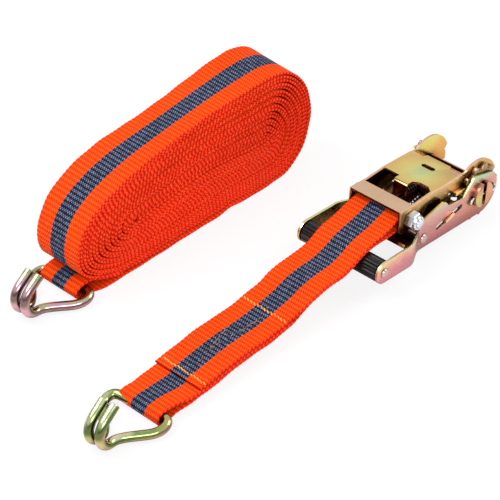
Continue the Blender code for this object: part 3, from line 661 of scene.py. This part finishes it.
def short_narrow(x, z, across):
    """Gathered where it passes through the hook, more on the far side."""
    gathered = LOOP_HALF / WEB_HALF
    near = gathered + (1 - gathered) * smoothstep((x + 190.0) / 20.0)
    far = np.interp(x, [-215, -200, -191, -180, -168, -160],
                    [0.885, 0.885, 0.845, 0.92, 0.985, 1.0])
    return np.where(across < 0, near, far)


def build_short_strap():
    path = short_strap_path()
    length = path[1][-1]

    def sideways(distance):
        """The two ends were sewn together a little out of line."""
        last = smoothstep((distance - (length - 120)) / 14.0)
        first = 1 - smoothstep((distance - 112) / 60.0)
        return 0.7 * last - 0.5 * first + 0.3 * np.sin(distance * 0.02)

    made = ribbon("short_webbing", "short_strap", path, SHORT_THICK, SHORT_Y, sideways,
                  relief=0.28, narrow=short_narrow)
    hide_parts("short_strap")


build_short_strap()


# ------------------------------------------------------------------ round wires
def wire(name, runs, radius, material, body, sides, end_radius=None):
    """Round wires along runs of points in layout mm, as one mesh."""
    bm = bmesh.new()
    turns = [2 * math.pi * k / sides for k in range(sides)]
    for run in runs:
        points = [Vector(point) for point in run]
        last = len(points) - 1
        rings = []
        up = Vector((0, 0, 1))
        for i, point in enumerate(points):
            ahead = (points[min(i + 1, last)] - points[max(i - 1, 0)]).normalized()
            side = ahead.cross(up)
            if side.length < 1e-3:
                side = ahead.cross(Vector((0, 1, 0)))
            side.normalize()
            up = side.cross(ahead).normalized()
            here = end_radius if end_radius and i in (0, last) else radius
            rings.append([
                bm.verts.new((point + side * here * math.cos(turn) + up * here * math.sin(turn)
                              + Vector(LAYOUT_SHIFT)) * MM) for turn in turns])
        for ring, following in zip(rings, rings[1:]):
            for k in range(sides):
                after = (k + 1) % sides
                bm.faces.new((ring[k], ring[after], following[after], following[k]))
        bm.faces.new(rings[0][::-1])
        bm.faces.new(rings[-1])
    bmesh.ops.recalc_face_normals(bm, faces=bm.faces)
    mesh = bpy.data.meshes.new(name)
    fill_mesh(mesh, bm)
    mesh.shade_smooth()
    mesh.set_sharp_from_angle(angle=math.radians(50))
    mesh.materials.append(material)
    return attach(add_object(name, mesh), body)


# ------------------------------------------------------------------ stitching
# name, x, slant along x of each stitch
SEAMS = (("stitch_line_hook_side", -156.7, 0.5), ("stitch_line_buckle_side", -66.7, 1.1))
SEAM_NEAR, SEAM_FAR = SHORT_Y - 22.6, SHORT_Y + 22.3
# rows along the overlap: start (x, y), end (x, y), share of stitches that show
SEWN_ROWS = (((-143.0, -80.0), (-98.0, -69.4), 0.6), ((-128.0, -77.6), (-69.0, -82.6), 0.55),
             ((-140.0, -84.0), (-100.0, -86.0), 0.3), ((-66.0, -76.0), (-62.0, -83.0), 0.9))
SEWN_PITCH = 2.07
rng = random.Random(7)


def amber_thread_material():
    tree = new_material("amber_thread")
    place = tree.object_place()
    twist = tree.node("TexWave", {"Vector": place, "Scale": 900.0, "Distortion": 1.5},
                      bands_direction="DIAGONAL").outputs[1]
    tone = tree.noise(place, scale=260.0, detail=2.0)
    return tree.surface({
        "Base Color": tree.ramp(tone, [(0.3, (216, 120, 10)), (0.55, (246, 160, 30)),
                                       (0.75, (255, 196, 84))]),
        "Roughness": 0.42,
        "Sheen Weight": 0.3,
        "Normal": tree.bump(twist, strength=0.5, distance=0.00012),
    })


def tan_thread_material():
    tree = new_material("tan_thread")
    tone = tree.noise(tree.object_place(), scale=500.0, detail=2.0)
    return tree.surface({
        "Base Color": tree.ramp(tone, [(0.3, (120, 78, 48)), (0.7, (196, 140, 96))]),
        "Roughness": 0.55,
        "Normal": tree.bump(tone, strength=0.4, distance=0.0001),
    })


def top_z(x):
    return float(top_layer(x) + SHORT_THICK / 2)


def bottom_z(x):
    return float(low_layer(x) - SHORT_THICK / 2)


def seam_runs(seam_x, slant):
    """Stitches across the strap, on its top (face 1) and bottom (face -1)."""
    runs = []
    for face in (1, -1):
        y = SEAM_NEAR
        while y < SEAM_FAR:
            length = 3.1 + rng.uniform(-0.25, 0.25)
            x = seam_x + 0.35 * math.sin(y * 0.4) + rng.uniform(-0.15, 0.15)
            run = []
            for k in range(9):
                part = k / 8
                lift = 0.42 * math.sin(math.pi * part) ** 0.5 - 0.28
                z = top_z(x) + lift if face > 0 else bottom_z(x) - lift
                run.append((x + 2 * slant * (part - 0.5), y + length * part, z - 0.12 * face))
            runs.append(run)
            y += length + 0.45
    return runs


def sewn_row_runs():
    """Short stitches in rows along the overlap, some of them left out."""
    runs = []
    for (start_x, start_y), (end_x, end_y), share in SEWN_ROWS:
        count = int(math.hypot(end_x - start_x, end_y - start_y) / SEWN_PITCH)
        for i in range(count):
            x = start_x + (end_x - start_x) * i / count
            y = start_y + (end_y - start_y) * i / count + rng.uniform(-0.5, 0.5)
            if rng.random() < share:
                runs.append([(x + k * 0.4, y + 0.12 * math.sin(k),
                              top_z(x + k * 0.4) - 0.05 + 0.2 * math.sin(math.pi * k / 4))
                             for k in range(5)])
    return runs


def build_stitching():
    amber = amber_thread_material()
    for name, seam_x, slant in SEAMS:
        wire(name, seam_runs(seam_x, slant), 0.6, amber, "short_strap", sides=8)
    wire("overlap_stitches", sewn_row_runs(), 0.36, tan_thread_material(), "short_strap",
         sides=7)


build_stitching()

# ------------------------------------------------------------------ yellow zinc
GOLD = (228, 200, 134)
PEACH = (234, 190, 150)
PINK = (212, 148, 148)
DEEP = (146, 92, 92)
MINT = (168, 208, 156)
LEMON = (216, 222, 158)
YELLOW = (236, 218, 136)
AMBER = (214, 160, 72)
PALE = (232, 222, 172)


class Spot:
    """The shaded point in the buckle's own axes, mm, from its rest place.

    along, across and height (towards the floor plate) are measured from the axle; facing is the
    normal in object axes; drift is the slow wander of the film's tint. Nodes are made on first use.
    """

    def __init__(self, tree, place, normal, drift):
        self.tree = tree
        self.place = place
        self.normal = normal
        self.drift = drift

    @cached_property
    def position(self):
        return self.tree.separate(self.place)

    def from_axle(self, axis):
        return self.tree.sub(self.tree.mul(self.position[axis], 1000.0), float(AXLE[axis]))

    @cached_property
    def x_offset(self):
        return self.from_axle(0)

    @cached_property
    def z_offset(self):
        return self.from_axle(2)

    @cached_property
    def along(self):
        tree = self.tree
        return tree.sub(tree.mul(self.x_offset, COS_PITCH), tree.mul(self.z_offset, SIN_PITCH))

    @cached_property
    def across(self):
        return self.from_axle(1)

    @cached_property
    def height(self):
        tree = self.tree
        return tree.add(tree.mul(self.x_offset, SIN_PITCH), tree.mul(self.z_offset, COS_PITCH))

    @cached_property
    def facing(self):
        turned = self.tree.node("VectorTransform", {0: self.normal}, vector_type="NORMAL",
                                convert_from="WORLD", convert_to="OBJECT")
        return self.tree.separate(turned.outputs[0])

    def drift_ramp(self, stops):
        """Colours by the drift alone."""
        return self.tree.ramp(self.tree.add(self.drift, 0.5), stops)

    def place_ramp(self, value, drift_share, stops):
        """Colours by a value, its borders moved by a share of the drift."""
        tree = self.tree
        return tree.ramp(tree.add(value, tree.mul(self.drift, drift_share)), stops)


def zinc_material(name, tint, seed, rough=(0.2, 0.36), wander=0.16, mottle=0.08, worn_edges=True,
                  film=0.35, dark=1.0, size=11.0):
    """Yellow zinc plating.

    tint(tree, spot) returns the film's colour over the piece. It wanders at the noise scale size,
    is mottled, shifts by film with the angle it is seen at and is worn paler on the edges.
    """
    tree = new_material(name)
    place = tree.object_place()
    normal = tree.node("NewGeometry").outputs["Normal"]
    seeded = tree.mapping(place, Location=(seed, seed * 1.7, seed * 0.6))
    big = tree.sub(tree.noise(seeded, scale=size, detail=2.0, distortion=0.6), 0.5)
    medium = tree.sub(tree.noise(seeded, scale=70.0, rough=0.55, distortion=0.3), 0.5)
    fine = tree.noise(seeded, scale=900.0, detail=4.0, rough=0.6)
    drift = tree.add(tree.mul(big, wander * 6), tree.mul(medium, mottle * 4))
    colour = tint(tree, Spot(tree, place, normal, drift))

    grazing = tree.node("LayerWeight", {"Blend": 0.3}).outputs["Facing"]
    angle_tint = tree.ramp(tree.add(grazing, tree.mul(medium, 0.3)),
                           [(0.0, (1.0, 1.0, 1.0)), (0.5, (1.0, 0.97, 0.90)),
                            (0.75, (0.92, 1.0, 0.86)), (1.0, (1.0, 0.90, 0.96))], display=False)
    colour = tree.mix(film, colour, angle_tint, "MULTIPLY")
    if worn_edges:
        bevel = tree.node("Bevel", {"Radius": 0.0006}, samples=4).outputs[0]
        match = tree.node("VectorMath", {0: bevel, 1: normal}, operation="DOT_PRODUCT")
        worn = tree.remap(match.outputs["Value"], (0.985, 0.80))
        colour = tree.mix(tree.mul(worn, 0.6), colour, srgb(238, 226, 180))

    # faint drawing marks of the sheet, and scratches
    brushed = tree.noise(tree.mapping(place, Scale=(40.0, 900.0, 40.0)), scale=1.0, detail=4.0,
                         rough=0.65)
    scratched = tree.mapping(place, Rotation=(0.4, 0.9, 0.7), Scale=(1800.0, 60.0, 200.0))
    scratch = tree.noise(scratched, scale=1.0, detail=2.0)
    grain = tree.add(tree.mul(scratch, 0.25), tree.mul(fine, 0.4))
    relief = tree.add(tree.mul(brushed, 0.35), grain)
    dull = tree.add(tree.mul(fine, 0.5), tree.mul(tree.add(medium, 0.5), 0.5))

    # painted shade in the corners and crevices, from ambient occlusion
    corner = tree.node("AmbientOcclusion", {"Distance": 0.011}, samples=6).outputs["AO"]
    corner_shade = tree.remap(corner, (0.15, 0.85), (0.34, 1.0))
    shade = tree.mul(corner_shade, tree.remap(fine, (0.3, 0.7), (0.93 * dark, 1.04 * dark)))
    return tree.surface({
        "Base Color": tree.scale(colour, shade),
        "Metallic": 1.0,
        "Roughness": tree.remap(dull, (0.3, 0.7), rough),
        "Normal": tree.bump(relief, strength=0.16, distance=0.00012),
    })


def base_tint(tree, spot):
    along, across, height, drift = spot.along, spot.across, spot.height, spot.drift
    # the floor plate: lemon in the middle, gold and peach towards its borders
    out_along = tree.calc("DIVIDE", tree.add(along, 42.0), 27.0)
    out_across = tree.calc("DIVIDE", across, 25.0)
    squares = tree.add(tree.mul(out_along, out_along), tree.mul(out_across, out_across))
    outward = tree.add(tree.calc("SQRT", squares), tree.mul(drift, 0.7))
    plate = tree.ramp(tree.mul(outward, 0.6), [
        (0.0, (204, 224, 172)), (0.2, (220, 222, 146)), (0.42, (230, 206, 128)),
        (0.6, (228, 190, 118)), (0.78, PEACH), (1.0, (232, 184, 164))])
    bridge = spot.drift_ramp([(0.1, (216, 180, 140)), (0.5, (228, 190, 160)),
                              (0.9, (230, 204, 166))])
    top = tree.mix(tree.remap(along, (-80.0, -88.0)), plate, bridge)
    # the side plates: tan near the floor plate, darker away from it, which is painted shade low on the walls
    wall = spot.place_ramp(tree.remap(height, (-2.0, 26.0)), 0.35, [
        (0.0, (108, 76, 42)), (0.35, (136, 102, 60)), (0.65, (166, 130, 82)),
        (0.85, (206, 166, 118)), (1.0, PEACH)])
    ear = spot.drift_ramp([(0.1, (196, 158, 92)), (0.5, (200, 150, 96)), (0.9, (206, 150, 116))])
    wall = tree.mix(tree.remap(along, (-26.0, -12.0)), wall, ear)
    far_ear = tree.ramp(tree.add(drift, tree.remap(height, (0.0, 28.0), (0.2, 0.8))), [
        (0.0, (196, 132, 60)), (0.35, (210, 150, 74)), (0.6, (216, 166, 80)),
        (0.8, (214, 188, 96)), (1.0, (206, 206, 120))])
    on_far_ear = tree.mul(tree.remap(across, (20.0, 24.0)), tree.remap(along, (-26.0, -16.0)))
    wall = tree.mix(on_far_ear, wall, far_ear)
    # painted shade inside the frame: its inner walls are painted dark red-brown
    inside = tree.mul(tree.remap(tree.calc("ABSOLUTE", across), (26.0, 25.6)),
                      tree.remap(height, (22.2, 21.0)))
    inside = tree.mul(inside, tree.remap(along, (-17.0, -24.0)))
    wall = tree.mix(inside, wall, spot.drift_ramp([(0.1, (70, 20, 12)), (0.9, (108, 46, 26))]))
    # faces turned down are painted dark as shade
    underside_shade = tree.mul(tree.remap(spot.facing[2], (-0.5, -0.8)), 0.8)
    wall = tree.mix(underside_shade, wall, srgb(110, 50, 28))
    return tree.mix(tree.remap(spot.facing[2], (0.5, 0.8), smooth=True), wall, top)


def near_plate_tint(tree, spot):
    along, height, drift = spot.along, spot.height, spot.drift
    body = spot.place_ramp(tree.remap(height, (-24.0, 16.0)), 0.22, [
        (0.0, DEEP), (0.10, (184, 116, 118)), (0.30, (206, 138, 134)), (0.50, PINK),
        (0.68, (212, 158, 154)), (0.84, (206, 184, 156)), (1.0, (214, 206, 152))])
    ear = spot.place_ramp(tree.remap(height, (-22.0, 20.0)), 0.3, [
        (0.0, (176, 106, 104)), (0.3, (212, 140, 112)), (0.55, (220, 158, 112)), (0.72, PINK),
        (0.86, (196, 186, 158)), (1.0, MINT)])
    body = tree.mix(tree.remap(along, (-34.0, -6.0), smooth=True), body, ear)
    grip_end = tree.ramp(tree.add(drift, tree.remap(height, (-22.0, 0.0), (0.2, 0.8))), [
        (0.0, PINK), (0.4, (220, 140, 150)), (0.7, PEACH), (1.0, LEMON)])
    body = tree.mix(tree.remap(along, (-92.0, -104.0), smooth=True), body, grip_end)
    rim = tree.ramp(tree.add(drift, tree.remap(along, (-60.0, 10.0))), [
        (0.0, PALE), (0.5, (222, 216, 150)), (0.8, MINT), (1.0, (150, 196, 150))])
    return tree.mix(tree.remap(spot.facing[2], (0.25, 0.6), smooth=True), body, rim)


def far_plate_tint(tree, spot):
    body = spot.place_ramp(tree.remap(spot.height, (-22.0, 20.0), (0.1, 0.9)), 0.4, [
        (0.0, (176, 120, 70)), (0.35, GOLD), (0.6, YELLOW), (0.8, PEACH), (1.0, PINK)])
    # its inner face, turned into the buckle, is painted dark olive as shade between the plates
    inner = tree.remap(spot.facing[1], (-0.3, -0.8), (0.0, 0.75), smooth=True)
    body = tree.mix(inner, body, srgb(92, 82, 30))
    rim = spot.drift_ramp([(0.2, PALE), (0.5, LEMON), (0.8, PINK)])
    return tree.mix(tree.remap(spot.facing[2], (0.25, 0.6), smooth=True), body, rim)


def wheel_tint(tree, spot):
    squares = tree.add(tree.mul(spot.along, spot.along), tree.mul(spot.height, spot.height))
    radius = tree.calc("SQRT", squares)
    # darker towards the hub as painted shade between the side plates
    return spot.place_ramp(tree.remap(radius, (10.0, 27.0)), 0.25, [
        (0.0, (110, 56, 32)), (0.35, (146, 92, 56)), (0.6, (190, 150, 104)),
        (0.8, (212, 176, 134)), (0.92, (224, 192, 160)), (1.0, PALE)])


def spool_tint(tree, spot):
    # the end faces darken towards the floor plate's side as a painted dark reflection
    ends = spot.place_ramp(tree.remap(spot.height, (11.0, -11.0)), 0.35, [
        (0.0, (120, 66, 44)), (0.3, (196, 150, 110)), (0.6, (206, 186, 116)),
        (1.0, (196, 190, 120))])
    right = spot.drift_ramp([(0.1, (214, 144, 132)), (0.5, (218, 156, 112)),
                             (0.9, (208, 140, 120))])
    ends = tree.mix(tree.remap(spot.along, (0.5, 1.5)), ends, right)
    round_side = spot.drift_ramp([(0.1, (176, 96, 78)), (0.5, (204, 140, 112)),
                                  (0.9, (214, 170, 150))])
    on_end = tree.remap(tree.calc("ABSOLUTE", spot.facing[1]), (0.6, 0.9))
    return tree.mix(on_end, round_side, ends)


def pawl_tint(tree, spot):
    """Painted shade between the side plates, bright outside them."""
    bright = spot.drift_ramp([(0.0, (170, 110, 70)), (0.3, AMBER), (0.55, PEACH), (0.8, GOLD),
                              (1.0, LEMON)])
    # painted shade for the parts between the side plates
    dark = spot.drift_ramp([(0.1, (72, 24, 14)), (0.5, (104, 48, 28)), (0.9, (132, 76, 44))])
    outside = tree.remap(tree.calc("ABSOLUTE", spot.across), (23.0, 26.0))
    return tree.mix(outside, dark, bright)


def rivet_tint(tree, spot):
    return spot.drift_ramp([(0.1, (150, 112, 100)), (0.5, (196, 168, 160)),
                            (0.9, (206, 176, 178))])


def hook_tint(stops):
    def tint(tree, spot):
        up, drift = spot.facing[2], spot.drift
        # bands of the film run round the wire by which way it faces, the palest where it faces up being partly
        # painted highlight
        turned = tree.remap(up, (-1.0, 1.0), (0.2, 0.8))
        film = tree.ramp(tree.add(tree.mul(drift, 0.9), turned), stops)
        # a painted dark reflection along the wire's side, below its crown
        crown = tree.add(up, tree.mul(drift, 0.12))
        side = tree.mul(tree.remap(crown, (-0.15, 0.15), smooth=True),
                        tree.remap(crown, (0.62, 0.38), smooth=True))
        return tree.mix(tree.mul(side, 0.72), film, srgb(58, 60, 30))
    return tint


# film colours round the wire; the pale stops at the top end are partly painted highlight
GREEN_STOPS = [(0.0, (110, 78, 60)), (0.16, (170, 130, 112)), (0.32, (204, 160, 156)),
               (0.46, (200, 184, 128)), (0.6, (168, 182, 112)), (0.74, (140, 164, 104)),
               (0.86, (206, 212, 160)), (1.0, (232, 226, 206))]
PINK_STOPS = [(0.0, (96, 76, 66)), (0.2, (170, 136, 120)), (0.36, (208, 160, 164)),
              (0.5, (212, 168, 184)), (0.64, (196, 192, 152)), (0.78, (146, 170, 122)),
              (0.88, (216, 206, 196)), (1.0, (232, 222, 216))]
HOOK_FINISH = {"size": 26.0, "dark": 0.95, "rough": (0.10, 0.2), "wander": 0.3,
               "worn_edges": False, "film": 0.6}

ZINC_BASE = zinc_material("zinc_base", base_tint, seed=0.13, wander=0.26, mottle=0.12)
ZINC_NEAR = zinc_material("zinc_handle_near", near_plate_tint, seed=0.4, dark=0.91)
ZINC_FAR = zinc_material("zinc_handle_far", far_plate_tint, seed=1.9)
# the wheels are painted much darker, as shade between the side plates
ZINC_WHEEL = zinc_material("zinc_wheel", wheel_tint, seed=2.3, size=30.0, dark=0.55)
ZINC_SPOOL = zinc_material("zinc_spool", spool_tint, seed=3.1, size=30.0)
ZINC_PAWL = zinc_material("zinc_pawl", pawl_tint, seed=4.7, size=24.0)
ZINC_RIVET = zinc_material("zinc_rivet", rivet_tint, seed=6.1, size=60.0, rough=(0.25, 0.4))
ZINC_GREEN = zinc_material("zinc_hook_green", hook_tint(GREEN_STOPS), seed=5.3, **HOOK_FINISH)
ZINC_PINK = zinc_material("zinc_hook_pink", hook_tint(PINK_STOPS), seed=7.7, **HOOK_FINISH)


# ------------------------------------------------------------------ bright metal and the grip
def bright_material(name, base, rough):
    tree = new_material(name)
    place = tree.object_place()
    fine = tree.noise(place, scale=700.0, detail=4.0, rough=0.6)
    medium = tree.noise(place, scale=130.0, rough=0.6)
    return tree.surface({
        "Base Color": tree.ramp(medium, [(0.3, [level * 0.86 for level in base]), (0.55, base),
                                         (0.75, [min(255, level * 1.1) for level in base])]),
        "Metallic": 1.0,
        "Roughness": tree.remap(fine, (0.3, 0.7), rough),
        "Normal": tree.bump(tree.add(fine, medium), strength=0.2, distance=0.00015),
    })


def grip_material():
    tree = new_material("black_grip")
    place = tree.object_place()
    grain = tree.noise(place, scale=1400.0, detail=4.0, rough=0.6)
    patch = tree.noise(place, scale=60.0, rough=0.6)
    dull = tree.add(tree.mul(grain, 0.6), tree.mul(patch, 0.4))
    return tree.surface({
        "Base Color": tree.ramp(patch, [(0.3, (6, 6, 6)), (0.6, (11, 11, 11)),
                                        (0.8, (20, 20, 20))]),
        "Roughness": tree.remap(dull, (0.35, 0.65), (0.3, 0.5)),
        "Specular IOR Level": 0.32,
        "Normal": tree.bump(grain, strength=0.25, distance=0.00012),
    })


BRIGHT = bright_material("bright_zinc", base=(206, 209, 216), rough=(0.14, 0.28))
SPRING = bright_material("spring_steel", base=(120, 112, 106), rough=(0.25, 0.4))
GRIP = grip_material()

# ------------------------------------------------------------------ CAD pieces and their finishes
NODE_BODY = {node: body for body, nodes in frame["record"]["behaviour"]["bodies"].items()
             for node in nodes}

# CAD piece, finish, width of its broken edges in mm
SOLID_PIECES = (
    ("base_frame", ZINC_BASE, 0.3),
    ("handle_plate_near", ZINC_NEAR, 0.3), ("handle_plate_far", ZINC_FAR, 0.3),
    ("ratchet_wheel_near", ZINC_WHEEL, 0.25), ("ratchet_wheel_far", ZINC_WHEEL, 0.25),
    ("spool_half_front", ZINC_SPOOL, 0.3), ("spool_half_rear", ZINC_SPOOL, 0.3),
    ("lock_pawl", ZINC_PAWL, 0.25), ("drive_pawl", ZINC_PAWL, 0.25),
    ("strap_bolt", BRIGHT, 0.3), ("strap_bolt_nut", BRIGHT, 0.3),
    ("handle_spacer_pin", ZINC_RIVET, 0.0), ("grip_pin", ZINC_RIVET, 0.0), ("grip", GRIP, 0.2))
BEVEL_ANGLE = 0.5  # radians; sharper edges are broken

# the drive pawl's spring, in the buckle's axes: middle, direction and reach to its seated end
SPRING_ALONG, SPRING_HEIGHT = -22.6, -0.5
SPRING_ANGLE = math.radians(194.0)


def refine(node, material, bevel=0.0, smooth=32.0, dissolve=True):
    """The CAD piece with its sharp edges broken, as its own mesh in the same place."""
    bm = bmesh.new()
    bm.from_mesh(frame["nodes"][node].data)
    bmesh.ops.remove_doubles(bm, verts=bm.verts, dist=2e-6)
    bmesh.ops.recalc_face_normals(bm, faces=bm.faces)
    if dissolve:
        bmesh.ops.dissolve_limit(bm, angle_limit=math.radians(0.6), verts=bm.verts,
                                 edges=bm.edges)
    if bevel:
        sharp = [edge for edge in bm.edges
                 if len(edge.link_faces) == 2 and edge.calc_face_angle(0.0) > BEVEL_ANGLE]
        bmesh.ops.bevel(bm, geom=sharp, offset=bevel * MM, segments=2, profile=0.6,
                        affect="EDGES", clamp_overlap=True, harden_normals=False)
    bmesh.ops.triangulate(bm, faces=[face for face in bm.faces if len(face.verts) > 4])
    name = node + "_finish"
    mesh = bpy.data.meshes.new(name)
    fill_mesh(mesh, bm)
    mesh.shade_smooth()
    mesh.set_sharp_from_angle(angle=math.radians(smooth))
    mesh.materials.append(material)
    made = attach(add_object(name, mesh), NODE_BODY[node])
    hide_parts(node)
    return made


def refine_round(node, material):
    """A piece of bent round wire, which keeps its facets."""
    return refine(node, material, smooth=60.0, dissolve=False)


def build_drive_spring():
    """The drive pawl's spring, its seated end wound tighter."""
    made = refine_round("drive_pawl_spring", SPRING)
    cosine, sine = math.cos(SPRING_ANGLE), math.sin(SPRING_ANGLE)
    way = BUCKLE.to_3x3() @ Vector((cosine, 0.0, sine))
    middle = BUCKLE @ Vector((SPRING_ALONG * MM, 0.0, SPRING_HEIGHT * MM))
    for vertex in made.data.vertices:
        offset = vertex.co - middle
        along = way * offset.dot(way)
        tighter = 0.26 * float(smoothstep((along.length * 1000 - 36.0) / 9.0))
        vertex.co = middle + along + (offset - along) * (1 - tighter)
    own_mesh(made)


def build_lock_spring():
    made = refine_round("lock_pawl_spring", SPRING)
    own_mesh(made)


for piece, finish, edge_width in SOLID_PIECES:
    refine(piece, finish, edge_width)
for piece in ("cotter_pin_near", "cotter_pin_far"):
    refine_round(piece, BRIGHT)
build_drive_spring()
build_lock_spring()

# ------------------------------------------------------------------ double-J hooks
# (x, y, z) of one half from the middle of the bar to the start of the J
HOOK_HALF = [
    (0.0, 0.0, 0.0), (0.0, 12.0, 0.0), (0.0, 22.5, 0.0), (-1.0, 25.1, -0.1), (-3.6, 27.0, -0.5),
    (-7.6, 27.9, -1.1), (-12.0, 27.0, -1.8), (-17.0, 23.9, -2.5), (-25.0, 16.4, -2.6),
    (-31.0, 10.7, -2.6), (-35.5, 7.3, -2.6), (-38.5, 5.7, -2.6)]
J_RADIUS, J_X, J_Z = 13.5, -41.0, 10.9
J_Y = 5.2
J_END = 121  # degrees
J_TIP = (0.0, 7.0, 14.5)  # places along the straight tip
END_ROUND = 0.55  # length of the rounding at the sheared ends
END_RADIUS = 3.35


def hook_points():
    half = list(HOOK_HALF)
    half += [(x, J_Y, z) for x, z in arc(J_X, J_Z, J_RADIUS, range(270, 120, -14))]
    (end_x, end_z), = arc(J_X, J_Z, J_RADIUS, (J_END,))
    slope = math.radians(J_END - 90)
    half += [(end_x + reach * math.cos(slope), J_Y, end_z + reach * math.sin(slope))
             for reach in J_TIP]
    other = [(x, -y, z) for x, y, z in half[1:]]
    return other[::-1] + half


def hook(name, bar, yaw, body, node, material):
    points, _ = resample(catmull(hook_points(), 6), 1.1)
    points = relax(points, 4)
    cosine, sine = math.cos(yaw), math.sin(yaw)
    turn = np.array(((cosine, -sine, 0), (sine, cosine, 0), (0, 0, 1)))
    points = points @ turn.T + bar
    # sheared ends, slightly rounded: each end point is doubled and its copy drawn back
    start_way = (points[0] - points[1]) / np.linalg.norm(points[0] - points[1])
    end_way = (points[-1] - points[-2]) / np.linalg.norm(points[-1] - points[-2])
    points = np.vstack([points[0], points, points[-1]])
    points[1] = points[1] - start_way * END_ROUND
    points[-2] = points[-2] - end_way * END_ROUND
    made = wire(name, [points], WIRE_RADIUS, material, body, sides=28,
                end_radius=END_RADIUS)
    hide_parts(node)


hook("short_strap_hook_wire", SHORT_HOOK_BAR, math.radians(7.0), "short_hook",
     "short_strap_hook", ZINC_GREEN)
hook("long_strap_hook_wire", LONG_HOOK_BAR, math.radians(5.0), "long_hook",
     "long_strap_hook", ZINC_PINK)

# ------------------------------------------------------------------ floor, light, camera, metres
FLOOR_HALF = 6
FLOOR_Z = -0.0006
TARGET = Vector((LAYOUT_SHIFT[0] * MM, LAYOUT_SHIFT[1] * MM, 0.0))
# name, place, size, power in watts
LIGHTS = (("key", (-0.6, 0.5, 1.3), (0.9, 0.9), 13.0),
          ("front", (-0.9, -1.1, 0.9), (0.8, 0.6), 7.0),
          ("right", (1.0, -0.7, 0.8), (0.6, 0.9), 6.0))
CAMERA_TURN, CAMERA_RISE = math.radians(-47.0), math.radians(37.5)
CAMERA_DISTANCE = 1.6


def floor_material():
    """Pale, and mostly glowing to the camera, so that what stands on it hardly shades it."""
    tree = new_material("pale_floor")
    grain = tree.noise(tree.object_place(), scale=30.0)
    pale = tree.node("BsdfPrincipled", {
        "Base Color": tree.ramp(grain, [(0.3, (0.88, 0.88, 0.88)), (0.7, (0.91, 0.91, 0.91))],
                                display=False),
        "Roughness": 0.75,
        "Specular IOR Level": 0.1,
    })
    glow = tree.node("Emission", {"Color": (1.0, 1.0, 1.0), "Strength": 1.0})
    seen = tree.node("LightPath").outputs["Is Camera Ray"]
    return tree.output(tree.node("MixShader", {
        0: tree.mul(seen, 0.85), 1: pale.outputs[0], 2: glow.outputs[0]}))


def build_floor():
    mesh = bpy.data.meshes.new("floor")
    corners = [(x * FLOOR_HALF, y * FLOOR_HALF, FLOOR_Z)
               for x, y in ((-1, -1), (1, -1), (1, 1), (-1, 1))]
    mesh.from_pydata(corners, [], [(0, 1, 2, 3)])
    mesh.materials.append(floor_material())
    add_object("floor", mesh)


def build_world():
    """A pale studio, a little darker about the horizon and brighter in reflections."""
    world = bpy.data.worlds.new("studio")
    bpy.context.scene.world = world
    tree = Nodes(world)
    up = tree.separate(tree.node("TexCoord").outputs["Generated"])[2]
    colour = tree.ramp(tree.remap(up, (-1.0, 1.0)), [
        (0.0, (0.75, 0.75, 0.75)), (0.55, (0.62, 0.62, 0.64)), (0.72, (1.0, 1.0, 1.0)),
        (1.0, (1.0, 1.0, 1.0))], display=False)
    glossy = tree.node("LightPath").outputs["Is Glossy Ray"]
    strength = tree.remap(glossy, (0.0, 1.0), (0.75, 0.88))
    tree.output(tree.node("Background", {0: colour, 1: strength}), "OutputWorld")


def aim(made, direction):
    made.rotation_mode = "QUATERNION"
    made.rotation_quaternion = direction.to_track_quat("-Z", "Y")


def build_lights():
    for name, place, size, power in LIGHTS:
        light = bpy.data.lights.new(name, "AREA")
        light.shape = "RECTANGLE"
        light.size, light.size_y = size
        light.energy = power
        made = add_object(name, light)
        made.location = place
        aim(made, TARGET - Vector(place))


def build_camera():
    camera = bpy.data.cameras.new("camera")
    made = add_object("camera", camera)
    back = Vector((math.sin(CAMERA_TURN) * math.cos(CAMERA_RISE),
                   -math.cos(CAMERA_TURN) * math.cos(CAMERA_RISE), math.sin(CAMERA_RISE)))
    made.location = TARGET + back * CAMERA_DISTANCE
    aim(made, -back)
    camera.sensor_width = 36.0
    camera.lens = 138.24
    camera.clip_start, camera.clip_end = 0.05, 50.0
    bpy.context.scene.camera = made


build_floor()
build_world()
build_lights()
build_camera()
bpy.context.scene.view_settings.view_transform = "Standard"
